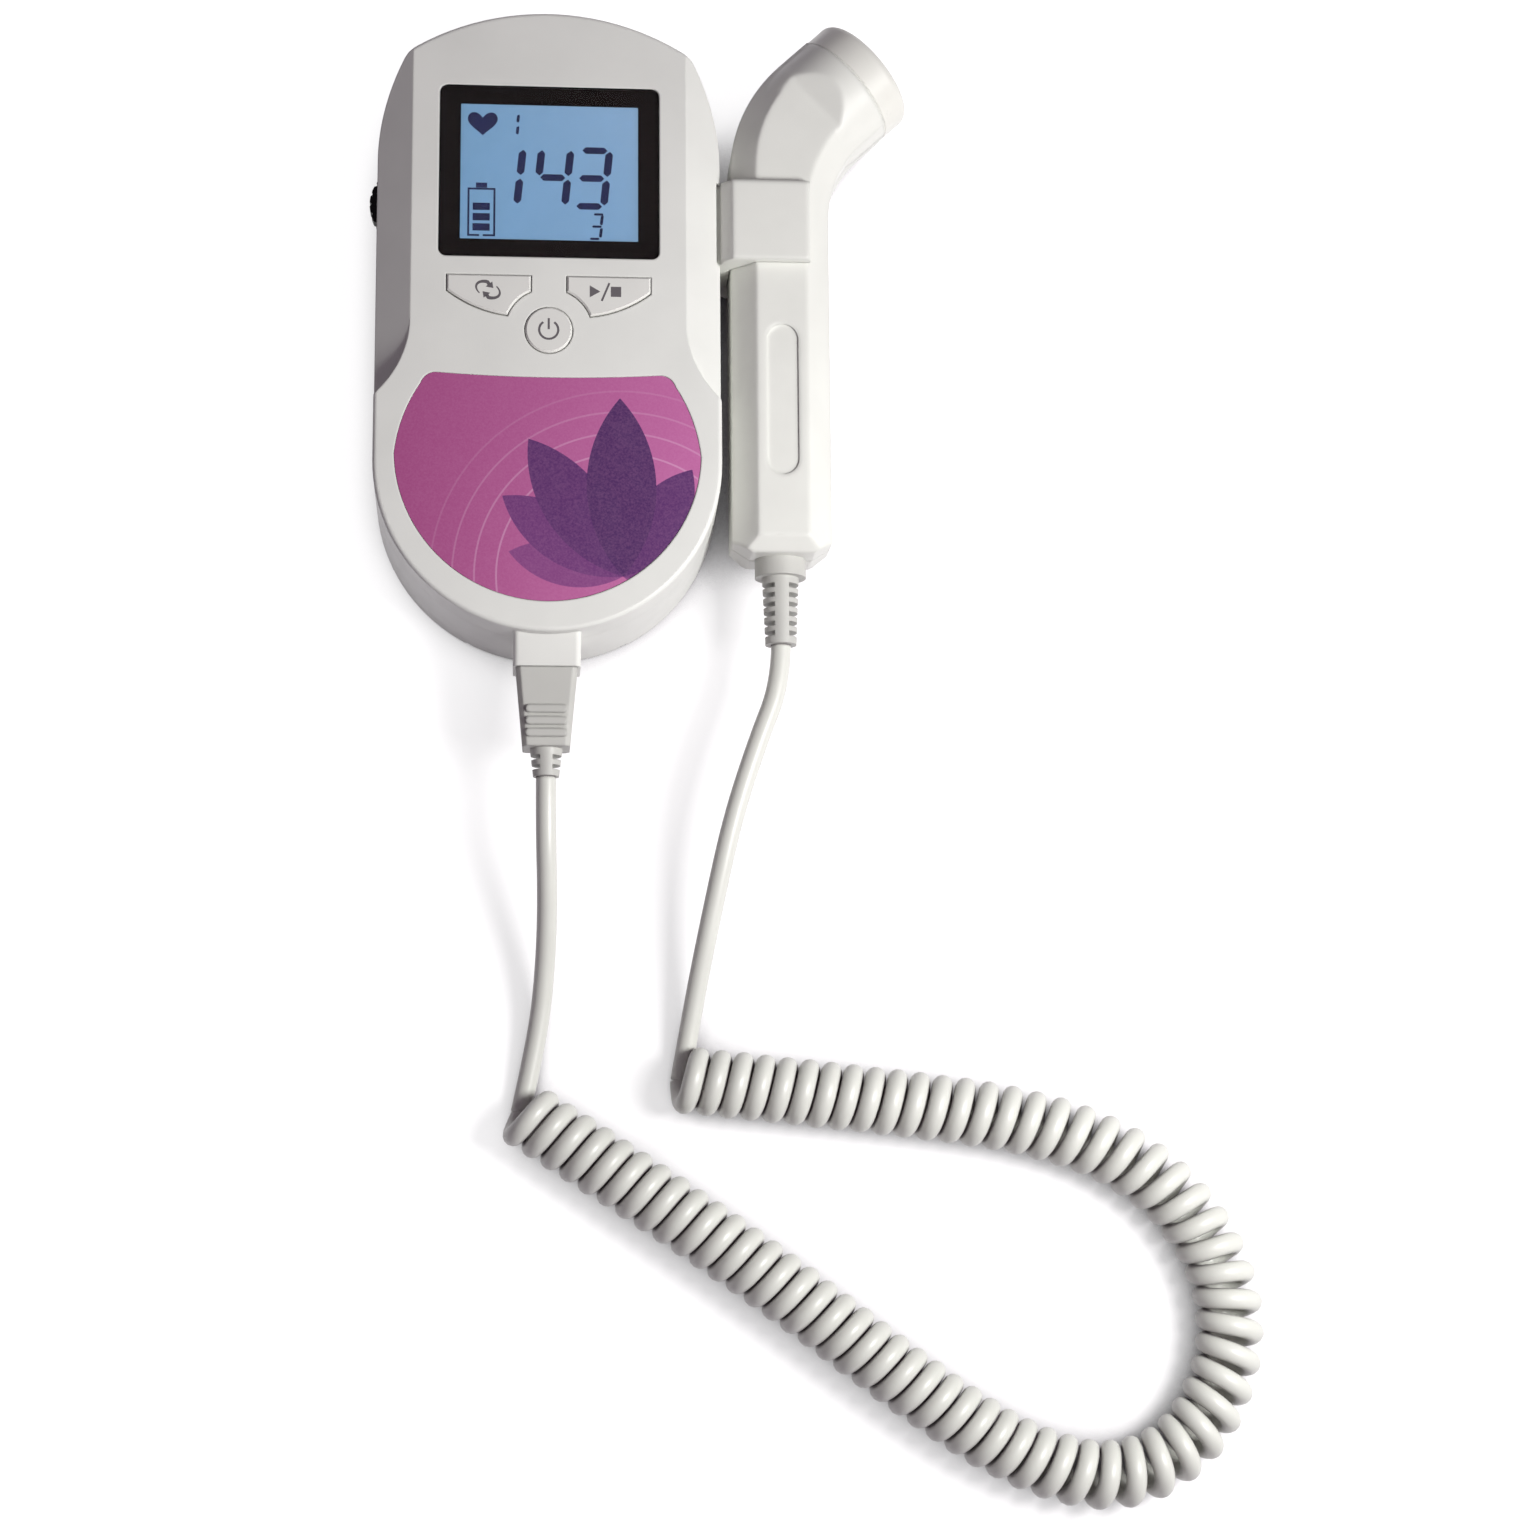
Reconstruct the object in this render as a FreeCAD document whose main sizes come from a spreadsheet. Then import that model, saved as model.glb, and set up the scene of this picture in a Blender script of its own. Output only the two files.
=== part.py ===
"""Pocket fetal doppler: display unit, probe clamped at its side, and the curly cord between them.

Millimetres.  The unit lies on its back: +X to its right, +Y to its top end, +Z out of the screen.
The origin is the middle of the back face.
"""
import FreeCAD, Part
import math
import os
from types import SimpleNamespace

import Sketcher

Vector = FreeCAD.Vector
Placement = FreeCAD.Placement
Rotation = FreeCAD.Rotation

SIZES = [
    # display unit, outline and depth
    ("half_width", 36.6), ("end_y", -31.5), ("shoulder_y", 34.9), ("shoulder_r", 45.2),
    ("corner_r", 8.6), ("crown_y", 13.33), ("crown_r", 54.0), ("face_z", 31.0), ("parting_z", 22.0),
    ("wall", 2.2), ("draft", -1.0), ("rim_r", 0.9), ("back_bevel", 1.3),
    # shared margins: cuts that run past a surface, posts that bite into what they stand on
    ("beyond", 90.0), ("clear_depth", 40.0), ("cut_over", 1.0), ("bite", 0.2), ("slip", 0.1),
    # finger facets along both sides, and the flare that ends them
    ("facet_x", 28.7), ("facet_run", 12.0), ("facet_fall", 8.1), ("flare_y", -18.4), ("flare_top_y", -1.0),
    ("flare_x", 36.05), ("flare_root", 0.5), ("roof_x", 27.6), ("roof_y", -20.5), ("roof_slant", 7.0),
    ("roof_z", 28.8), ("side_roof_z", 24.4),
    # screen
    ("window_y", 31.25), ("window_w", 46.3), ("window_h", 37.9), ("window_r", 1.7),
    ("window_depth", 1.4), ("sight_y", 31.4), ("sight_w", 40.6), ("sight_h", 33.0),
    ("lcd_half_w", 22.2), ("lcd_low_y", 14.6), ("lcd_high_y", 48.2), ("lcd_ledge", 2.0), ("lcd_t", 2.1),
    ("window_gap", 0.1),
    # keys
    ("key_in_x", 3.58), ("key_out_x", 21.4), ("key_top_y", 8.4), ("key_low_y", 4.65),
    ("key_tip_x", 8.5), ("key_tip_y", -0.67), ("key_arc_r", 8.96), ("key_belly_r", 25.0),
    ("power_y", -3.55), ("power_r", 5.1), ("key_gap", 0.2), ("key_lip", 0.9), ("key_bevel", 0.35),
    ("key_lip_z", 27.6),
    ("key_proud", 0.5), ("key_stem_r", 1.6), ("key_stem_z", 26.8), ("switch_x", 12.8), ("switch_y", 4.6),
    ("switch_half", 3.0), ("switch_top_z", 25.0), ("plunger_r", 1.7), ("plunger_top_z", 26.1),
    # printed panel
    ("label_half", 31.7), ("label_wide_y", -30.5), ("label_low_y", -61.4), ("label_low_r", 31.8),
    ("label_side_r", 34.0), ("label_neck_x", 26.4), ("label_neck_y", -15.3), ("label_corner_r", 3.4),
    ("label_top_x", 23.5), ("label_top_y", -12.9), ("label_sag_r", 342.0), ("label_depth", 0.4),
    # circuit board and its screws
    ("board_z", 20.0), ("board_t", 1.6), ("board_x", 23.2), ("board_low_y", -24.5), ("board_high_y", 57.5),
    ("board_tab_x", 33.2), ("board_tab_low_y", 3.5), ("board_tab_high_y", 38.0),
    ("board_screw_x", 21.1), ("board_screw_low_y", -21.5), ("board_screw_high_y", 54.0),
    ("board_hole_r", 1.2), ("board_post_r", 2.3), ("board_thread_r", 1.0),
    ("board_head_r", 1.9), ("board_head_t", 1.4),
    # case screws
    ("case_screw_x", 27.0), ("case_screw_low_y", -25.0), ("case_screw_high_y", 46.0),
    ("case_post_r", 3.3), ("case_thread_r", 1.25), ("case_hole_r", 1.4), ("case_sink_r", 2.6),
    ("case_sink_z", 4.0), ("case_head_t", 1.8), ("thread_depth", 5.5), ("post_step", 0.3), ("head_gap", 0.2),
    ("shank_gap", 0.05),
    # battery bay and door
    ("bay_half", 15.3), ("bay_wall_x", 18.9), ("bay_low_y", -61.0), ("bay_high_y", -6.5),
    ("bay_wall_high_y", -4.9), ("bay_roof_z", 17.3), ("bay_top_z", 18.9), ("sill_top_z", 10.0),
    ("sill_y", -62.8), ("door_half", 15.8), ("door_t", 2.0), ("door_gap", 0.15), ("door_lip_z", 1.0),
    ("door_slot_z", 2.2),
    ("tongue_half", 17.0), ("tongue_low_y", -60.0), ("door_top_y", -6.2), ("grip_w", 1.2),
    ("grip_half", 6.0), ("grip_depth", 0.6), ("grip_y", -12.0), ("grip_pitch", 2.4),
    ("cell_r", 7.15), ("cell_len", 49.4), ("cell_x", 7.45), ("cell_z", 9.7), ("nub_r", 2.7), ("nub_h", 1.0),
    ("leaf_half", 4.2), ("leaf_t", 0.35), ("leaf_width", 5.0),
    ("plate_t", 0.3), ("plate_half", 5.6),
    # loudspeaker and grille
    ("speaker_y", 33.0), ("speaker_r", 14.6), ("speaker_rim_t", 2.4), ("speaker_rim_w", 1.2),
    ("magnet_r", 7.6), ("magnet_top_z", 11.0), ("fence_r", 16.4), ("fence_in_r", 15.0), ("fence_top_z", 6.2),
    ("grille_r", 12.4), ("grille_slot_w", 1.5), ("grille_pitch", 3.1),
    # volume wheel
    ("wheel_x", -29.5), ("wheel_y", 28.4), ("wheel_r", 8.7), ("wheel_low_z", 14.6), ("wheel_t", 2.8),
    ("wheel_slot_half", 8.0), ("wheel_slot_low_z", 14.1), ("wheel_slot_high_z", 17.9), ("knurl_depth", 0.45),
    ("knurl_half", 0.5),
    ("shaft_r", 1.5), ("shaft_gap", 0.05), ("pot_half", 4.6), ("pot_low_z", 17.9),
    # headphone jack
    ("jack_y", 8.0), ("jack_z", 14.0), ("jack_bore_r", 1.8), ("jack_bore_len", 14.0), ("jack_nose_r", 3.0),
    ("jack_mouth_x", -36.3), ("jack_body_x", -34.2), ("jack_end_x", -21.5), ("jack_half_y", 3.2),
    ("jack_low_z", 11.1), ("jack_gap", 0.1),
    # boss, socket and plug at the lower end
    ("boss_half", 7.0), ("boss_y", -73.5), ("boss_root_y", -60.0), ("boss_low_z", 13.0),
    ("boss_lip_z", 24.6), ("boss_slope_y", -65.5), ("boss_high_z", 29.4), ("boss_r", 1.2),
    ("socket_z", 18.9), ("socket_half_x", 5.0), ("socket_half_z", 3.7), ("socket_end_y", -62.9),
    ("mouth_half_x", 4.2), ("mouth_half_z", 2.5), ("mouth_depth", 9.0), ("boss_wall", 1.6),
    ("tongue_half_x", 3.9), ("tongue_half_z", 2.2), ("tongue_len", 7.6),
    ("plug_half_x", 6.4), ("plug_half_z", 5.6), ("plug_end_half_x", 4.9), ("plug_end_half_z", 4.6),
    ("plug_end_y", -90.0), ("plug_bevel", 0.9), ("rib_y", -82.4), ("rib_pitch", 2.5),
    ("rib_half_x", 4.3), ("rib_half_y", 0.8), ("rib_proud", 0.15), ("plug_slip", 0.1),
    ("relief_r", 3.4), ("relief_end_r", 2.7), ("relief_len", 5.8), ("relief_slot_w", 0.9),
    ("relief_slot_pitch", 2.0), ("relief_core", 1.3),
    # holder clip
    ("clip_low_y", 13.6), ("clip_high_y", 31.2), ("clip_foot_x", 35.4), ("clip_side_x", 36.35),
    ("clip_tip_x", 55.2), ("clip_gap", 0.25), ("clip_wall", 2.0), ("clip_bend_x", 38.7),
    ("clip_bend", 10.1), ("clip_foot_half", 8.5), ("clip_r", 0.7), ("seat_gap", 0.15),
    ("clip_seat_low_z", 5.0), ("clip_screw_len", 3.5), ("clip_hole_depth", 2.7),
    ("clip_screw_y", 4.5), ("clip_screw_r", 0.8), ("clip_screw_hole_r", 0.85), ("clip_screw_head_r", 1.7),
    # probe
    ("probe_x", 49.2), ("probe_z", 16.5), ("handle_half", 10.5), ("flat_half", 10.5), ("bevel", 5.1),
    ("handle_end_y", -48.7), ("handle_bevel_y", -46.2), ("handle_end_half", 6.6), ("end_bevel", 3.0),
    ("thumb_end", 10.6), ("thumb_back", 30.0), ("thumb_clear", 4.0), ("thumb_slant", 64.0),
    ("neck_in_r", 33.8), ("neck_out_r", 25.0), ("seam_half", 12.3), ("head_y", 42.8), ("head_turn", 43.1),
    ("head_start", 1.0), ("head_start_r", 10.6), ("head_full_at", 11.8), ("head_full_r", 13.0),
    ("head_arc_r", 25.5), ("seam_at", 20.3), ("seam_r", 13.05), ("seam_bevel", 0.2),
    ("cap_widest_at", 25.4), ("cap_widest_r", 13.1), ("cap_round_r", 1.8), ("shell_t", 1.8),
    ("lens_r", 9.9), ("lens_seat", 25.3), ("lens_end", 27.5),
    ("lens_bevel", 0.3), ("lens_gap", 0.05),
    ("crystal_r", 8.4), ("crystal_t", 0.9), ("crystal_gap", 0.6), ("damper_r", 9.4),
    ("cap_bore_r", 9.2), ("spigot_r", 10.9), ("spigot_start", 17.4), ("well_start", 8.0),
    ("pill_half", 3.35), ("pill_low_y", -32.6), ("pill_high_y", 0.1), ("pill_depth", 0.4),
    ("pcb_half", 7.4), ("pcb_low_y", -41.0), ("pcb_high_y", 22.0), ("pcb_t", 1.4), ("well_step", 0.4),
    ("pcb_rib_in", 5.0), ("pcb_rib_half_x", 5.0), ("pcb_rib_half_y", 0.7),
    ("collar_r", 5.4), ("collar_len", 3.9), ("boot_r", 3.9), ("boot_end_r", 3.3), ("boot_len", 18.3),
    ("boot_slot_w", 1.0), ("boot_slot_pitch", 2.05), ("boot_core", 1.5),
    # cord
    ("cord_r", 2.05), ("coil_r", 7.05),
]

KNURL_COUNT = 24
GRILLE_ROWS = 7
GRIP_ROWS = 5
PLUG_RIBS = 3
BOOT_SLOTS = 6
RELIEF_SLOTS = 2

# The cord's route: points chosen along the lead where it hangs, droops and lies.
PLUG_LEAD_ROUTE = [
    (0.0, -95.8, 18.9), (0.0, -106.5, 18.9), (0.5, -121.0, 12.9), (0.1, -134.5, 7.0),
    (-1.3, -148.0, 3.4), (-4.8, -163.8, 2.15),
]
COIL_ROUTE = [
    (-4.6, -164.1, 7.05), (21.8, -180.9, 7.05), (50.3, -200.6, 7.05), (76.4, -220.6, 7.05),
    (97.8, -235.4, 7.05), (118.0, -241.4, 7.05), (135.6, -233.6, 7.05), (145.0, -213.4, 7.05),
    (141.9, -193.2, 7.05), (127.6, -175.2, 7.05), (104.4, -166.9, 7.05), (66.8, -162.3, 7.05),
    (30.8, -158.6, 7.05),
]
PROBE_LEAD_ROUTE = [
    (49.2, -67.0, 16.5), (49.2, -75.2, 16.5), (45.4, -87.4, 17.0), (40.4, -103.5, 16.2),
    (35.6, -122.0, 12.2), (32.2, -140.5, 6.0), (31.0, -158.4, 2.15),
]

# How near two coordinates are when they are the same place.
NEAR = 0.01
# How near the middle of the probe's seam the edge that crosses it has its own middle.
AT_SEAM = 2.0

doc = FreeCAD.newDocument("fetal_doppler")
pieces = []


class Dim:
    """A number that also knows the spreadsheet expression it comes from."""

    def __init__(self, number, text=None):
        self.number = float(number)
        self.text = text or f"({self.number!r})"

    def __float__(self):
        return self.number

    def __add__(self, other):
        other = dim(other)
        return Dim(self.number + other.number, f"({self.text} + {other.text})")

    def __sub__(self, other):
        other = dim(other)
        return Dim(self.number - other.number, f"({self.text} - {other.text})")

    def __mul__(self, other):
        other = dim(other)
        return Dim(self.number * other.number, f"({self.text} * {other.text})")

    def __truediv__(self, other):
        other = dim(other)
        return Dim(self.number / other.number, f"({self.text} / {other.text})")

    def __neg__(self):
        return Dim(-self.number, f"(0 - {self.text})")

    def __radd__(self, other):
        return dim(other) + self

    def __rsub__(self, other):
        return dim(other) - self

    def __rmul__(self, other):
        return dim(other) * self


def dim(value):
    return value if isinstance(value, Dim) else Dim(value)


def root(value):
    return Dim(math.sqrt(float(value)), f"sqrt({value.text})")


def cosine(angle):
    return Dim(math.cos(math.radians(float(angle))), f"cos({angle.text})")


def sine(angle):
    return Dim(math.sin(math.radians(float(angle))), f"sin({angle.text})")


def plus_minus(value):
    return (-value, value)


def fill_sheet():
    """Write every size into its own cell and return the aliases as Dims."""
    sheet = doc.addObject("Spreadsheet::Sheet", "Sizes")
    for row, (alias, value) in enumerate(SIZES, 1):
        sheet.set(f"A{row}", alias.replace("_", " "))
        sheet.set(f"B{row}", str(value))
        sheet.setAlias(f"B{row}", alias)
    doc.recompute()
    return SimpleNamespace(**{alias: Dim(value, f"Sizes.{alias}") for alias, value in SIZES})


d = fill_sheet()


def bind(obj, prop, value):
    """Drive a property by the sheet."""
    obj.setExpression(prop, dim(value).text)


# ---------------------------------------------------------------- profiles

def rect(low_x, low_y, high_x, high_y):
    return [(low_x, low_y), (high_x, low_y), (high_x, high_y), (low_x, high_y)]


def round_rect(x, y, half_x, half_y, r):
    """Rectangle about (x, y) with corners of radius r."""
    return [
        (x - half_x, y - half_y + r, r), (x - half_x + r, y - half_y),
        (x + half_x - r, y - half_y, r), (x + half_x, y - half_y + r),
        (x + half_x, y + half_y - r, r), (x + half_x - r, y + half_y),
        (x - half_x + r, y + half_y, r), (x - half_x, y + half_y - r),
    ]


def stadium(x, y, half_x, half_y):
    """Slot with half-round ends, along X or, where half_y is the larger, along Y."""
    if float(half_x) >= float(half_y):
        reach = half_x - half_y
        return [
            (x - reach, y - half_y), (x + reach, y - half_y, half_y), (x + half_x, y, half_y),
            (x + reach, y + half_y), (x - reach, y + half_y, half_y), (x - half_x, y, half_y),
        ]
    reach = half_y - half_x
    return [
        (x + half_x, y - reach), (x + half_x, y + reach, half_x), (x, y + half_y, half_x),
        (x - half_x, y + reach), (x - half_x, y - reach, half_x), (x, y - half_y, half_x),
    ]


def circle(x, y, r):
    return ("circle", x, y, r)


def flipped(corners):
    """The same outline mirrored in X, still anticlockwise."""
    turned = []
    count = len(corners)
    for i in range(count - 1, -1, -1):
        x, y = corners[i][:2]
        before = corners[i - 1]
        turned.append((-dim(x), y) + tuple(before[2:]))
    return turned


# ---------------------------------------------------------------- bodies

class Piece:
    """One sub-part, built feature by feature on its own origin planes."""

    def __init__(self, label, listed=True):
        self.body = doc.addObject("PartDesign::Body", label)
        self.body.Label = label
        if listed:
            pieces.append(self.body)

    def plane(self, role):
        return next(f for f in self.body.Origin.OriginFeatures if f.Role == role + "_Plane")

    def sketch(self, role, level, wires, origin=(0, 0), turn=0):
        """Closed wires on an origin plane, moved along its normal to `level` in the world."""
        sk = self.body.newObject("Sketcher::SketchObject", "Outline")
        sk.AttachmentSupport = [(self.plane(role), "")]
        sk.MapMode = "FlatFace"
        lift = -dim(level) if role == "XZ" else dim(level)
        x, y = dim(origin[0]), dim(origin[1])
        turn = dim(turn)
        sk.AttachmentOffset = Placement(
            Vector(float(x), float(y), float(lift)), Rotation(Vector(0, 0, 1), float(turn)))
        bind(sk, "AttachmentOffset.Base.x", x)
        bind(sk, "AttachmentOffset.Base.y", y)
        bind(sk, "AttachmentOffset.Base.z", lift)
        bind(sk, "AttachmentOffset.Rotation.Angle", turn)
        for wire in wires:
            if wire[0] == "circle":
                draw_circle(sk, *wire[1:])
            else:
                draw_outline(sk, wire)
        return sk

    def grow(self, kind, sk, length, name):
        feature = self.body.newObject("PartDesign::" + kind, name)
        feature.Profile = sk
        bind(feature, "Length", length)
        return feature

    def pad(self, role, level, wires, length, towards=1, taper=None):
        """Add material from `level` for `length`, towards +1 or -1 along the world axis."""
        feature = self.grow("Pad", self.sketch(role, level, wires), length, "Pad")
        feature.Reversed = (towards < 0) != (role == "XZ")
        if taper is not None:
            bind(feature, "TaperAngle", taper)
        self.settle(feature, 1)
        return feature

    def pocket(self, role, level, wires, depth, towards=-1, origin=(0, 0), angle=0, taper=None):
        """Cut from `level` for `depth`, towards +1 or -1 along the world axis."""
        feature = self.grow("Pocket", self.sketch(role, level, wires, origin, angle), depth, "Pocket")
        feature.Reversed = (towards > 0) != (role == "XZ")
        if taper is not None:
            bind(feature, "TaperAngle", taper)
        self.settle(feature, -1)
        return feature

    def turn(self, role, level, wires, origin=(0, 0), angle=0, axis="H_Axis", cut=False):
        """Revolve wires about the sketch's own H or V axis."""
        sk = self.sketch(role, level, wires, origin, angle)
        kind = "Groove" if cut else "Revolution"
        feature = self.body.newObject("PartDesign::" + kind, kind)
        feature.Profile = sk
        feature.ReferenceAxis = (sk, [axis])
        feature.Angle = 360
        self.settle(feature, -1 if cut else 1)
        return feature

    def loft(self, role, levels, wires):
        """Skin between outlines on parallel planes."""
        sections = [self.sketch(role, level, [wire]) for level, wire in zip(levels, wires)]
        feature = self.body.newObject("PartDesign::AdditiveLoft", "Loft")
        feature.Profile = sections[0]
        feature.Sections = sections[1:]
        feature.Ruled = True
        self.settle(feature, 1)
        return feature

    def round_edges(self, test, radius):
        self.dress("Fillet", "Radius", test, radius)

    def bevel_edges(self, test, size):
        self.dress("Chamfer", "Size", test, size)

    def dress(self, kind, prop, test, size):
        """Fillet or chamfer every edge whose bounding box passes the test."""
        base = self.body.Tip
        names = [f"Edge{i}" for i, edge in enumerate(base.Shape.Edges, 1) if test(edge.BoundBox)]
        if not names:
            raise RuntimeError(f"{self.body.Label}: no edge to dress")
        feature = self.body.newObject("PartDesign::" + kind, kind)
        feature.Base = (base, names)
        bind(feature, prop, size)
        doc.recompute()
        if not feature.isValid() or feature.Shape.isNull():
            raise RuntimeError(f"{self.body.Label}: {kind} failed on {names}")

    def settle(self, feature, sign):
        """Recompute, and make sure that the feature added or removed material."""
        base = feature.BaseFeature
        before = base.Shape.Volume if base else 0.0
        doc.recompute()
        if not feature.isValid():
            raise RuntimeError(f"{self.body.Label}: {feature.Label} failed")
        if (feature.Shape.Volume - before) * sign <= 0:
            raise RuntimeError(f"{self.body.Label}: {feature.Label} changes nothing")


def fix(sk, geometry, position, x, y):
    """Hold a sketch point at sheet-driven coordinates."""
    for kind, value in (("DistanceX", dim(x)), ("DistanceY", dim(y))):
        index = sk.addConstraint(Sketcher.Constraint(kind, geometry, position, float(value)))
        sk.setExpression(f"Constraints[{index}]", value.text)


def fix_radius(sk, geometry, radius):
    index = sk.addConstraint(Sketcher.Constraint("Radius", geometry, float(radius)))
    sk.setExpression(f"Constraints[{index}]", radius.text)


def draw_circle(sk, x, y, r):
    r = dim(r)
    shape = Part.Circle(Vector(float(x), float(y), 0), Vector(0, 0, 1), float(r))
    geometry = sk.addGeometry(shape)
    fix(sk, geometry, 3, x, y)
    fix_radius(sk, geometry, r)


def draw_outline(sk, corners):
    """Lines and arcs through the corners; (x, y, r) starts an arc, left-turning where r > 0."""
    count = len(corners)
    ends = []
    for i, corner in enumerate(corners):
        start = Vector(float(corner[0]), float(corner[1]), 0)
        following = corners[(i + 1) % count]
        end = Vector(float(following[0]), float(following[1]), 0)
        if len(corner) < 3:
            geometry = sk.addGeometry(Part.LineSegment(start, end))
            ends.append((geometry, 1, 2))
            continue
        radius = dim(corner[2])
        geometry, first, last = add_arc(sk, start, end, float(radius))
        fix_radius(sk, geometry, radius if float(radius) > 0 else -radius)
        ends.append((geometry, first, last))
    for i, (geometry, first, last) in enumerate(ends):
        following = ends[(i + 1) % count]
        sk.addConstraint(Sketcher.Constraint("Coincident", geometry, last, following[0], following[1]))
        fix(sk, geometry, first, corners[i][0], corners[i][1])


def add_arc(sk, start, end, radius):
    """The minor arc from start to end; returns its index and its start and end point numbers."""
    chord = end - start
    rise = math.sqrt(max(radius * radius - (chord.Length / 2) ** 2, 0))
    left = Vector(-chord.y, chord.x, 0).normalize()
    side = 1 if radius > 0 else -1
    centre = (start + end) * 0.5 + left * (rise * side)
    angles = [math.atan2(p.y - centre.y, p.x - centre.x) for p in (start, end)]
    if radius < 0:
        angles.reverse()
    if angles[1] <= angles[0]:
        angles[1] += 2 * math.pi
    ring = Part.Circle(centre, Vector(0, 0, 1), abs(radius))
    geometry = sk.addGeometry(Part.ArcOfCircle(ring, angles[0], angles[1]))
    return (geometry, 1, 2) if radius > 0 else (geometry, 2, 1)


# ---------------------------------------------------------------- primitives

def primitive(kind, name, spot, direction=(0, 0, 1), **sizes):
    """A Part primitive with sheet-driven sizes and place."""
    obj = doc.addObject("Part::" + kind, name)
    for prop, value in sizes.items():
        bind(obj, prop, value)
    turn = Rotation(Vector(0, 0, 1), Vector(*direction))
    obj.Placement = Placement(Vector(*(float(v) for v in spot)), turn)
    for axis, value in zip("xyz", spot):
        bind(obj, "Placement.Base." + axis, value)
    return obj


def box(name, low, high):
    """Part::Box between two corners."""
    spans = [dim(b) - dim(a) for a, b in zip(low, high)]
    return primitive("Box", name, low, Length=spans[0], Width=spans[1], Height=spans[2])


def group(label, members):
    """Separate solids that share one node."""
    obj = doc.addObject("Part::Compound", label)
    obj.Label = label
    obj.Links = members
    pieces.append(obj)
    return obj


def fused(label, members):
    obj = doc.addObject("Part::MultiFuse", label)
    obj.Label = label
    obj.Shapes = members
    obj.Refine = True
    return obj


def screw(name, head_spot, direction, head_r, head_t, shank_r, shank_len):
    """Pan-head screw: the head starts at head_spot and the shank goes on along direction."""
    way = Vector(*direction)
    head = primitive("Cylinder", name + "_head", head_spot, direction, Radius=head_r, Height=head_t)
    neck = [dim(v) + dim(head_t) * w for v, w in zip(head_spot, way)]
    shank = primitive("Cylinder", name + "_shank", neck, direction, Radius=shank_r, Height=shank_len)
    return fused(name, [head, shank])


# ---------------------------------------------------------------- display unit housing

def arc_reach(r, offset):
    """Half-chord of a circle of radius r at a distance from its centre."""
    return root(r * r - dim(offset) * offset)


def corner_points(centre_1, r_1, centre_2, r_2, r):
    """Where a corner arc of radius r, inside both arcs, touches each of them."""
    gap_x, gap_y = centre_2[0] - centre_1[0], centre_2[1] - centre_1[1]
    gap = root(gap_x * gap_x + gap_y * gap_y)
    reach_1, reach_2 = r_1 - r, r_2 - r
    along = (reach_1 * reach_1 - reach_2 * reach_2 + gap * gap) / (gap * 2)
    across = root(reach_1 * reach_1 - along * along)
    x = centre_1[0] + (gap_x * along - gap_y * across) / gap
    y = centre_1[1] + (gap_y * along + gap_x * across) / gap
    touches = []
    for centre, outer, reach in ((centre_1, r_1, reach_1), (centre_2, r_2, reach_2)):
        grown = outer / reach
        touches.append((centre[0] + (x - centre[0]) * grown, centre[1] + (y - centre[1]) * grown))
    return touches


def unit_outline(inset=0):
    """The unit's plan: half-round lower end, straight sides, turned-in shoulders, arched crown."""
    inset = dim(inset)
    half = d.half_width - inset
    shoulder_r, crown_r, corner_r = d.shoulder_r - inset, d.crown_r - inset, d.corner_r - inset
    shoulder_centre = (d.half_width - d.shoulder_r, d.shoulder_y)
    side, crown = corner_points(shoulder_centre, shoulder_r, (dim(0), d.crown_y), crown_r, corner_r)
    return [
        (-half, d.end_y, half), (0, d.end_y - half, half), (half, d.end_y), (half, d.shoulder_y, shoulder_r),
        (side[0], side[1], corner_r), (crown[0], crown[1], crown_r),
        (-crown[0], crown[1], corner_r), (-side[0], side[1], shoulder_r), (-half, d.shoulder_y),
    ]


def flare_outline():
    """Fill between the lower end of a side facet and the curve that closes it."""
    run = d.half_width - d.facet_x
    drop = d.flare_top_y - d.flare_y
    flare_r = (run * run + drop * drop) / (run * 2)
    edge_run = d.flare_x - d.facet_x
    edge_y = d.flare_top_y - root(flare_r * flare_r - (flare_r - edge_run) * (flare_r - edge_run))
    inner_x = d.facet_x - d.flare_root
    return [
        (inner_x, d.flare_y), (d.flare_x, d.flare_y), (d.flare_x, edge_y, -flare_r),
        (d.facet_x, d.flare_top_y), (inner_x, d.flare_top_y),
    ]


def roof_outline():
    """Inner space under the face: wide below the flares, narrow between the facets."""
    half = d.half_width - d.wall
    slant_y = d.roof_y + d.roof_slant
    roof_r = d.crown_r - d.wall
    crown_y = d.crown_y + arc_reach(roof_r, d.roof_x)
    return [
        (-half, d.end_y, half), (0, d.end_y - half, half), (half, d.end_y), (half, d.roof_y),
        (d.roof_x, slant_y), (d.roof_x, crown_y, roof_r), (-d.roof_x, crown_y),
        (-d.roof_x, slant_y), (-half, d.roof_y),
    ]


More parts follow.
